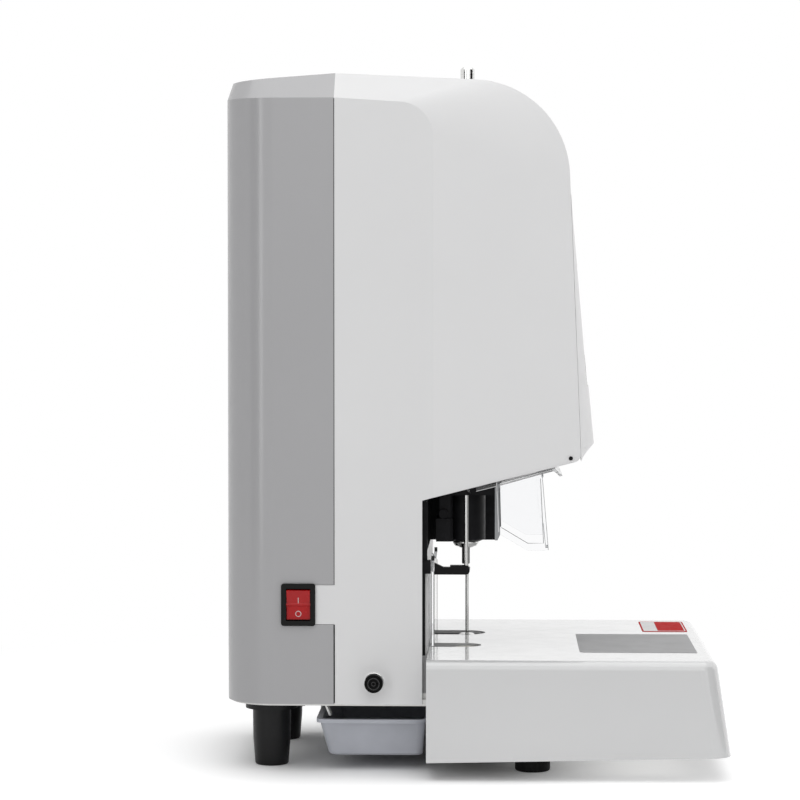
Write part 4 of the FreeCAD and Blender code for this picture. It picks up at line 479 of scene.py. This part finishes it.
def silver_plate():
    """The large bare plate on the table top, in place of the machine's label."""
    low = (78.5 * MM, -84.5 * MM)
    high = (166.8 * MM, 31.2 * MM)
    radii = (6.0 * MM, 1.0 * MM, 1.0 * MM, 1.0 * MM)
    thickness = 0.25 * MM
    form = bmesh.new()
    slab(form, rounded_outline(low, high, radii), thickness, on_table)
    piece("label_silver", form, ["plate_silver"], "machine_frame")


def red_plate():
    """The small bare plate: a red rim, a white field and a red bar, each a little prouder."""
    low = (132.5 * MM, 50.0 * MM)
    high = (168.5 * MM, 119.5 * MM)
    red, white = 0, 1
    # colour, margins at the rear, at the front and at both ends, corner radius, thickness
    layers = (
        (red, 0.0, 0.0, 0.0, 3.0, 0.25),
        (white, 1.2, 1.2, 2.5, 2.2, 0.35),
        (red, 12.5, 2.2, 4.5, 1.5, 0.45),
    )
    form = bmesh.new()
    for colour, rear, front, ends, radius, thickness in layers:
        first = (low[0] + rear * MM, low[1] + ends * MM)
        last = (high[0] - front * MM, high[1] - ends * MM)
        outline = rounded_outline(first, last, (radius * MM,) * 4)
        slab(form, outline, thickness * MM, on_table, colour)
    piece("label_red", form, ["plate_red", "mark_white"], "machine_frame")


# ------------------------------------------------- pieces on the switch and fuse

def rocker_face(side, along):
    """Places (u, v, w) on the rocker's upper (1) or lower (-1) face, along its slope from the dip."""
    tilt = math.radians(8.0)    # half the rocker's travel
    centre = pivot("rocker_tilt")
    turn = Matrix.Rotation(tilt, 4, "X")
    dip = Vector((0.0, -0.6 * MM, 0.0))
    crest = Vector((0.0, -2.1 * MM, 11.05 * MM * side))
    run = (crest - dip).normalized()
    out = Vector((0.0, -run.z * side, run.y * side))
    sunk = 0.02 * MM

    def place(u, v, w):
        return centre + turn @ (dip + run * (along + v) + Vector((u, 0.0, 0.0)) + out * (w - sunk))

    return place


def rocker_marks():
    """The plain I and O marks on the two faces of the rocker."""
    tall = 2.2 * MM
    wide = 0.19 * MM
    proud = 0.1 * MM
    bar = [(-wide, -tall), (wide, -tall), (wide, tall), (-wide, tall)]
    form = bmesh.new()
    slab(form, bar, proud, rocker_face(1.0, 3.4 * MM))
    ring(form, rocker_face(-1.0, 6.9 * MM), tall, tall - wide * 2, proud)
    outward(form)
    piece("rocker_marks", form, ["mark_white"], "rocker")


def cap_rings():
    """Raised ring and hub on the fuse cap's face, painted a lighter gray than the cap as painted glints."""
    centre = pivot("fuse_turn")
    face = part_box("fuse_cap")[0].y
    proud = 0.25 * MM

    def on_cap(u, v, w):
        return Vector((centre.x + u, face - w, centre.z + v))

    form = bmesh.new()
    for outer, inner in ((4.6, 3.9), (1.7, 1.2)):
        ring(form, on_cap, outer * MM, inner * MM, proud)
    outward(form)
    piece("fuse_cap_painted_glint_rings", form, ["ring_gray"], "fuse_knob")


# ------------------------------------------------------- clear guard and backstop

def clear_guard():
    """The guard's own mesh, with painted shade on its cut edges, rear strips and top sheet: gray, less
    clear copies of its clear material.
    """
    materials = ["guard_clear", "guard_edge", "guard_sheet"]
    clear, edge, sheet = 0, 1, 2
    sideways = 0.5
    sheet_width = 10.0 * MM
    strip_rear = 14.0 * MM
    strip_front = 18.5 * MM
    strip_top = 215.0 * MM
    form = node_form("finger_guard")
    # painted shade: faces seen edge-on and the rear strips get a darker gray, the wide top sheet a lighter
    # gray
    for face in form.faces:
        ys = [corner.co.y for corner in face.verts]
        centre = face.calc_center_median()
        is_strip = strip_rear < centre.x < strip_front and centre.z < strip_top
        if max(ys) - min(ys) > sheet_width:
            face.material_index = sheet
        elif abs(face.normal.y) < sideways or is_strip:
            face.material_index = edge
        else:
            face.material_index = clear
    made = piece("finger_guard_clear", form, materials, "guard")
    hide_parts("finger_guard")


def guard_edges():
    """Thin lines on the near cheek's rim, folds and rear strip: painted glints, painted reflections and
    painted shade where the clear sheet catches the light or looks dark.
    """
    proud = 0.1
    cheek_y = box_mm("finger_guard")[0].y - proud
    rim = [(19.3, 182.4), (39.2, 170.5), (51.2, 170.5), (48.9, 219.6)]
    front_edge = [(54.9, 165.4), (50.0, 223.6)]
    front_fold = [(52.9, 167.0), (50.9, 186.0)]
    strip = [(17.9, 212.5), (18.7, 183.0)]
    strip_glint = [(15.7, 216.5), (17.3, 179.0)]
    rear_fold = [(-4.1, 208.7), (15.2, 213.6)]
    top_fold = [(19.1, 216.9), (45.7, 224.4)]
    low_corner = [(53.1, 168.2), (54.6, 168.2)]
    high_corner = [(49.6, 221.6), (51.0, 221.6)]
    # dark lines are painted shade, gray lines painted reflections, white lines painted glints
    # name, (x, z) lines on the cheek, radius, material
    lines = (
        ("guard_rim_painted_shade", [rim], 0.2, "edge_dark"),
        ("guard_front_painted_reflections", [front_edge, front_fold], 0.22, "edge_light"),
        ("guard_strip_painted_shade", [strip], 0.45, "edge_dark"),
        ("guard_strip_painted_glint", [strip_glint], 0.35, "mark_white"),
        ("guard_fold_painted_glints", [rear_fold, top_fold], 0.3, "mark_white"),
        ("guard_corner_painted_reflections", [low_corner, high_corner], 1.1, "edge_light"),
    )
    for name, paths, radius, material in lines:
        places = [[(x, cheek_y, z) for x, z in path] for path in paths]
        line_piece(name, places, radius, material, "guard")


def backstop_edges():
    """Painted shade on the clear backstop's cut edges: dark lines on its cheeks' front edges, and where its
    web meets them.
    """
    low, high = box_mm("paper_backstop")
    wall = 2.0
    sunk = 0.2
    foot = low.z + 0.3
    bend, web_top = 146.4, 149.0
    rear_x, rear_top = -36.3, 151.8
    web_x = high.x - wall
    paths = []
    for y in (low.y, low.y + wall, high.y - wall, high.y):
        paths.append([(high.x, y, foot), (high.x, y, bend), (rear_x, y, rear_top)])
    for y in (low.y + wall - sunk, high.y - wall + sunk):
        paths.append([(web_x, y, foot), (web_x, y, web_top)])
    line_piece("backstop_painted_edge_shade", paths, 0.16, "edge_dark", "machine_frame")


def backstop_tops():
    """The backstop's two ears, each with a dark cap; the clear ears carry the painted shade gray."""
    low, high = box_mm("paper_backstop")
    width = 2.0
    rear_x, front_x = -34.3, -31.9
    root_rear, root_front = (-36.3, 148.0), (-33.0, 146.0)
    cap_overlap, cap_height = 0.2, 3.2
    ears = bmesh.new()
    caps = bmesh.new()
    for low_y, top in ((low.y, 155.2), (high.y - width, 153.2)):
        def upright(u, v, w, low_y=low_y):
            return Vector((u, low_y + w, v)) * MM

        cap_low = top - cap_overlap
        cap_top = top + cap_height
        ear = [root_rear, root_front, (front_x, top), (rear_x, top)]
        cap = [(rear_x, cap_low), (front_x, cap_low), (front_x, cap_top), (rear_x, cap_top)]
        slab(ears, ear, width, upright)
        slab(caps, cap, width, upright)
    # painted shade: the clear ears are drawn in a gray, less clear copy of the sheet
    outward(ears)
    piece("backstop_ears", ears, ["guard_sheet"], "machine_frame")
    outward(caps)
    piece("backstop_caps", caps, ["ring_gray"], "machine_frame")


# ------------------------------------------------------ nodes with altered faces

def low_presser():
    """The presser foot with its far fork kept low, so that the near arm hides it."""
    fork_y = -57.0 * MM
    touching = 0.02 * MM
    flattening = 0.3
    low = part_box("presser_foot")[0].z
    form = node_form("presser_foot")
    add_loop(form, (0.0, fork_y, 0.0), (0.0, 1.0, 0.0))
    for corner in form.verts:
        if corner.co.y > fork_y + touching:
            corner.co.z = low + (corner.co.z - low) * flattening
    made = piece("presser_foot_low", form, ["press_black"], "presser")
    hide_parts("presser_foot")
    for face in made.data.polygons:
        face.use_smooth = False


def guide_plate():
    """The guide plate with a pale face below the tools, in front and at the near end."""
    level = 166.0 * MM
    facing = 0.9
    form = node_form("guide_plate")
    add_loop(form, (0.0, 0.0, level), (0.0, 0.0, 1.0))
    for face in form.faces:
        is_shown = face.normal.x > facing or face.normal.y < -facing
        is_pale = is_shown and face.calc_center_median().z < level
        face.material_index = 1 if is_pale else 0
    made = piece("guide_plate_faced", form, ["guide_black", "wear_face"], "machine_frame")
    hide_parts("guide_plate")


def slim_rail():
    """The presser rail, narrower below its collar."""
    collar = 148.8 * MM
    touching = 0.05 * MM
    front_x = -38.0 * MM
    form = node_form("presser_rail")
    add_loop(form, (0.0, 0.0, collar), (0.0, 0.0, 1.0))
    for corner in form.verts:
        if corner.co.z < collar + touching:
            corner.co.x = min(corner.co.x, front_x)
    made = piece("presser_rail_slim", form, ["steel_dark"], "machine_frame")
    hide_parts("presser_rail")


def bezel_front(y, z):
    """How far forward the bezel reaches: it leans back as it rises, and falls away from its crown."""
    crown_x = 85.05 * MM
    foot_z = 300.0 * MM
    lean = 0.095
    bow = 0.87
    return crown_x - lean * (z - foot_z) - bow * y ** 2


def flush_keys():
    """The three keys, trimmed flush with the crowned bezel as the photo's smooth outline asks."""
    for node_name, body in (("key_1", "key_left"), ("key_2", "key_middle"), ("key_3", "key_right")):
        form = node_form(node_name)
        for corner in form.verts:
            corner.co.x = min(corner.co.x, bezel_front(corner.co.y, corner.co.z))
        made = piece(body + "_cap", form, ["key_gray"], body)
        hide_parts(node_name)


# --------------------------------------------------------- seams and nose screws

def seam_lines():
    """The thin shadow gap between the gray and the white cover, above and below the notch."""
    seam_x = box_mm("rear_cover")[1].x
    low, high = box_mm("front_cover")
    proud = 0.02
    # name, radius, foot, top
    runs = (("seam_line_", 0.25, 141.0, 505.0), ("seam_foot_", 0.5, 52.0, 111.0))
    for side, y in (("near", low.y - proud), ("far", high.y + proud)):
        for name, radius, foot, top in runs:
            path = [(seam_x, y, foot), (seam_x, y, top)]
            line_piece(name + side, [path], radius, "seam_shadow", "machine_frame")


def nose_screws():
    """Recessed screws low on both sides of the nose: black ovals, the screw heads with the shade of their
    recesses painted in.
    """
    x, y, z = 71.6 * MM, 80.0 * MM, 235.3 * MM
    half_long, half_tall = 1.5 * MM, 0.7 * MM
    length = 3.0 * MM
    outline = [(u * half_long, v * half_tall) for u, v in circle(1.0, steps=24)]
    for name, side in (("nose_screw_near", -1.0), ("nose_screw_far", 1.0)):
        centre = Vector((x, y * side, z))

        def outwards(u, v, w, centre=centre, side=side):
            return centre + Vector((u, w * side, v))

        form = bmesh.new()
        slab(form, outline, length, outwards)
        outward(form)
        piece(name, form, ["switch_black"], "machine_frame")


# ------------------------------------------------------- stage, lights, camera

def new_tree(name):
    """An empty material, its node tree and its output node."""
    material = bpy.data.materials.new(name)
    material.use_nodes = True
    tree = material.node_tree
    tree.nodes.clear()
    return material, tree, tree.nodes.new("ShaderNodeOutputMaterial")


def maths(tree, operation, *values):
    """Output of a Math node that takes sockets and plain numbers."""
    made = tree.nodes.new("ShaderNodeMath")
    made.operation = operation
    for socket, value in zip(made.inputs, values):
        if isinstance(value, float):
            socket.default_value = value
        else:
            tree.links.new(value, socket)
    return made.outputs["Value"]


def length_of(tree, vector):
    """The length of a vector."""
    made = tree.nodes.new("ShaderNodeVectorMath")
    made.operation = "LENGTH"
    tree.links.new(vector, made.inputs[0])
    return made.outputs["Value"]


def smooth_rise(tree, value, start, end, height):
    """Rises smoothly from 0 to a height while the value goes from start to end."""
    made = tree.nodes.new("ShaderNodeMapRange")
    made.interpolation_type = "SMOOTHSTEP"
    made.inputs["From Min"].default_value = start
    made.inputs["From Max"].default_value = end
    made.inputs["To Max"].default_value = height
    tree.links.new(value, made.inputs["Value"])
    return made.outputs["Result"]


def emission(tree, strength=None):
    """White light, of a strength that comes from a socket, or of 1."""
    made = tree.nodes.new("ShaderNodeEmission")
    made.inputs["Color"].default_value = WHITE
    if strength is not None:
        tree.links.new(strength, made.inputs["Strength"])
    return made.outputs["Emission"]


def diffuse(tree, colour):
    """A plain matt surface."""
    made = tree.nodes.new("ShaderNodeBsdfDiffuse")
    made.inputs["Color"].default_value = colour
    return made.outputs["BSDF"]


def mixed(tree, factor, first, second):
    """First shader where the factor is 0, second where it is 1."""
    made = tree.nodes.new("ShaderNodeMixShader")
    for socket, value in zip(made.inputs, (factor, first, second)):
        tree.links.new(value, socket)
    return made.outputs["Shader"]


def is_looked_at(tree):
    """1 for camera rays, reflections and what clear sheets show, 0 for light."""
    path = tree.nodes.new("ShaderNodeLightPath")
    either = maths(tree, "MAXIMUM", path.outputs["Is Camera Ray"], path.outputs["Is Transmission Ray"])
    return maths(tree, "MAXIMUM", either, path.outputs["Is Glossy Ray"])


def patch_distance(tree, place):
    """Distance on the floor from the shaded patch under the machine."""
    split = tree.nodes.new("ShaderNodeSeparateXYZ")
    tree.links.new(place, split.inputs[0])
    joined = tree.nodes.new("ShaderNodeCombineXYZ")
    for axis, (low, high) in enumerate(zip(SHADE_LOW, SHADE_HIGH)):
        from_middle = maths(tree, "SUBTRACT", split.outputs[axis], (low + high) / 2)
        size = maths(tree, "ABSOLUTE", from_middle)
        past_edge = maths(tree, "SUBTRACT", size, (high - low) / 2)
        tree.links.new(maths(tree, "MAXIMUM", past_edge, 0.0), joined.inputs[axis])
    return length_of(tree, joined.outputs[0])


def floor_material():
    """Pale floor that keeps the shadow near the machine and is plain white further off."""
    material, tree, output = new_tree("stage_floor")
    place = tree.nodes.new("ShaderNodeTexCoord").outputs["Object"]
    looked_at = is_looked_at(tree)
    clear = smooth_rise(tree, patch_distance(tree, place), 0.0, SHADE_FADE, FLOOR_LIFT)
    lift = maths(tree, "MULTIPLY", looked_at, clear)
    near = tree.nodes.new("ShaderNodeAddShader")
    tree.links.new(diffuse(tree, FLOOR_COLOUR), near.inputs[0])
    tree.links.new(emission(tree, lift), near.inputs[1])
    away = smooth_rise(tree, length_of(tree, place), FLOOR_NEAR, FLOOR_FAR, 1.0)
    whiten = maths(tree, "MULTIPLY", looked_at, away)
    surface = mixed(tree, whiten, near.outputs["Shader"], emission(tree))
    tree.links.new(surface, output.inputs["Surface"])
    return material


def card_material(name):
    """Black for a ray that has been reflected at least once, clear for every other."""
    between_none_and_one = 0.5
    material, tree, output = new_tree(name)
    path = tree.nodes.new("ShaderNodeLightPath")
    reflected = maths(tree, "GREATER_THAN", path.outputs["Glossy Depth"], between_none_and_one)
    clear = tree.nodes.new("ShaderNodeBsdfTransparent").outputs["BSDF"]
    surface = mixed(tree, reflected, clear, diffuse(tree, BLACK))
    tree.links.new(surface, output.inputs["Surface"])
    return material


def floor():
    """The round floor plate."""
    form = bmesh.new()
    bmesh.ops.create_circle(form, cap_ends=True, radius=FLOOR_RADIUS, segments=FLOOR_SIDES)
    ground = add_mesh("stage_floor", form, [floor_material()])


def aim(made, place, target, axis):
    """Puts an object at a place, with one of its axes towards a target."""
    made.location = place
    made.rotation_mode = "QUATERNION"
    made.rotation_quaternion = (Vector(target) - Vector(place)).to_track_quat(axis, "Y")


def card(name, place, size):
    """A black flag that faces the machine and only shows in reflections."""
    half_metre = 0.5
    form = bmesh.new()
    bmesh.ops.create_grid(form, x_segments=1, y_segments=1, size=half_metre)
    flag = add_mesh(name, form, [card_material(name)])
    flag.scale = (*size, 1.0)
    aim(flag, place, (0.0, 0.0, place[2]), "Z")
    flag.visible_camera = False
    flag.visible_diffuse = False
    flag.visible_shadow = False


def world():
    """Even ambient light; cameras, reflections and clear sheets see plain white."""
    sky = bpy.data.worlds.new("studio")
    bpy.context.scene.world = sky
    sky.use_nodes = True
    tree = sky.node_tree
    background = tree.nodes["Background"]
    background.inputs["Color"].default_value = WHITE
    strength = tree.nodes.new("ShaderNodeMapRange")
    strength.inputs["To Min"].default_value = AMBIENT
    strength.inputs["To Max"].default_value = 1.0
    tree.links.new(is_looked_at(tree), strength.inputs["Value"])
    tree.links.new(strength.outputs["Result"], background.inputs["Strength"])


def lamp(name, place, target, size, power):
    """A rectangular lamp that points at a target."""
    data = bpy.data.lights.new(name, "AREA")
    data.shape = "RECTANGLE"
    data.size, data.size_y = size
    data.energy = power
    light = bpy.data.objects.new(name, data)
    bpy.context.scene.collection.objects.link(light)
    aim(light, place, target, "-Z")


def camera():
    """The photograph's camera."""
    data = bpy.data.cameras.new("camera")
    data.sensor_width = SENSOR_WIDTH
    data.lens = CAMERA_LENS
    data.clip_end = CAMERA_REACH
    eye = bpy.data.objects.new("camera", data)
    bpy.context.scene.collection.objects.link(eye)
    bpy.context.scene.camera = eye
    look = Vector((
        -math.sin(CAMERA_YAW) * math.cos(CAMERA_PITCH),
        math.cos(CAMERA_YAW) * math.cos(CAMERA_PITCH),
        -math.sin(CAMERA_PITCH),
    ))
    aim(eye, CAMERA_PLACE, CAMERA_PLACE + look, "-Z")


def studio():
    """Everything round the machine."""
    bpy.context.scene.view_settings.view_transform = "Standard"
    camera()
    floor()
    world()
    for name, place, target, size, power in LAMPS:
        lamp(name, place, target, size, power)
    for name, place, size in CARDS:
        card(name, place, size)


studio()
dress_nodes()
silver_plate()
red_plate()
rocker_marks()
clear_guard()
guard_edges()
backstop_edges()
backstop_tops()
low_presser()
guide_plate()
slim_rail()
flush_keys()
cap_rings()
seam_lines()
nose_screws()
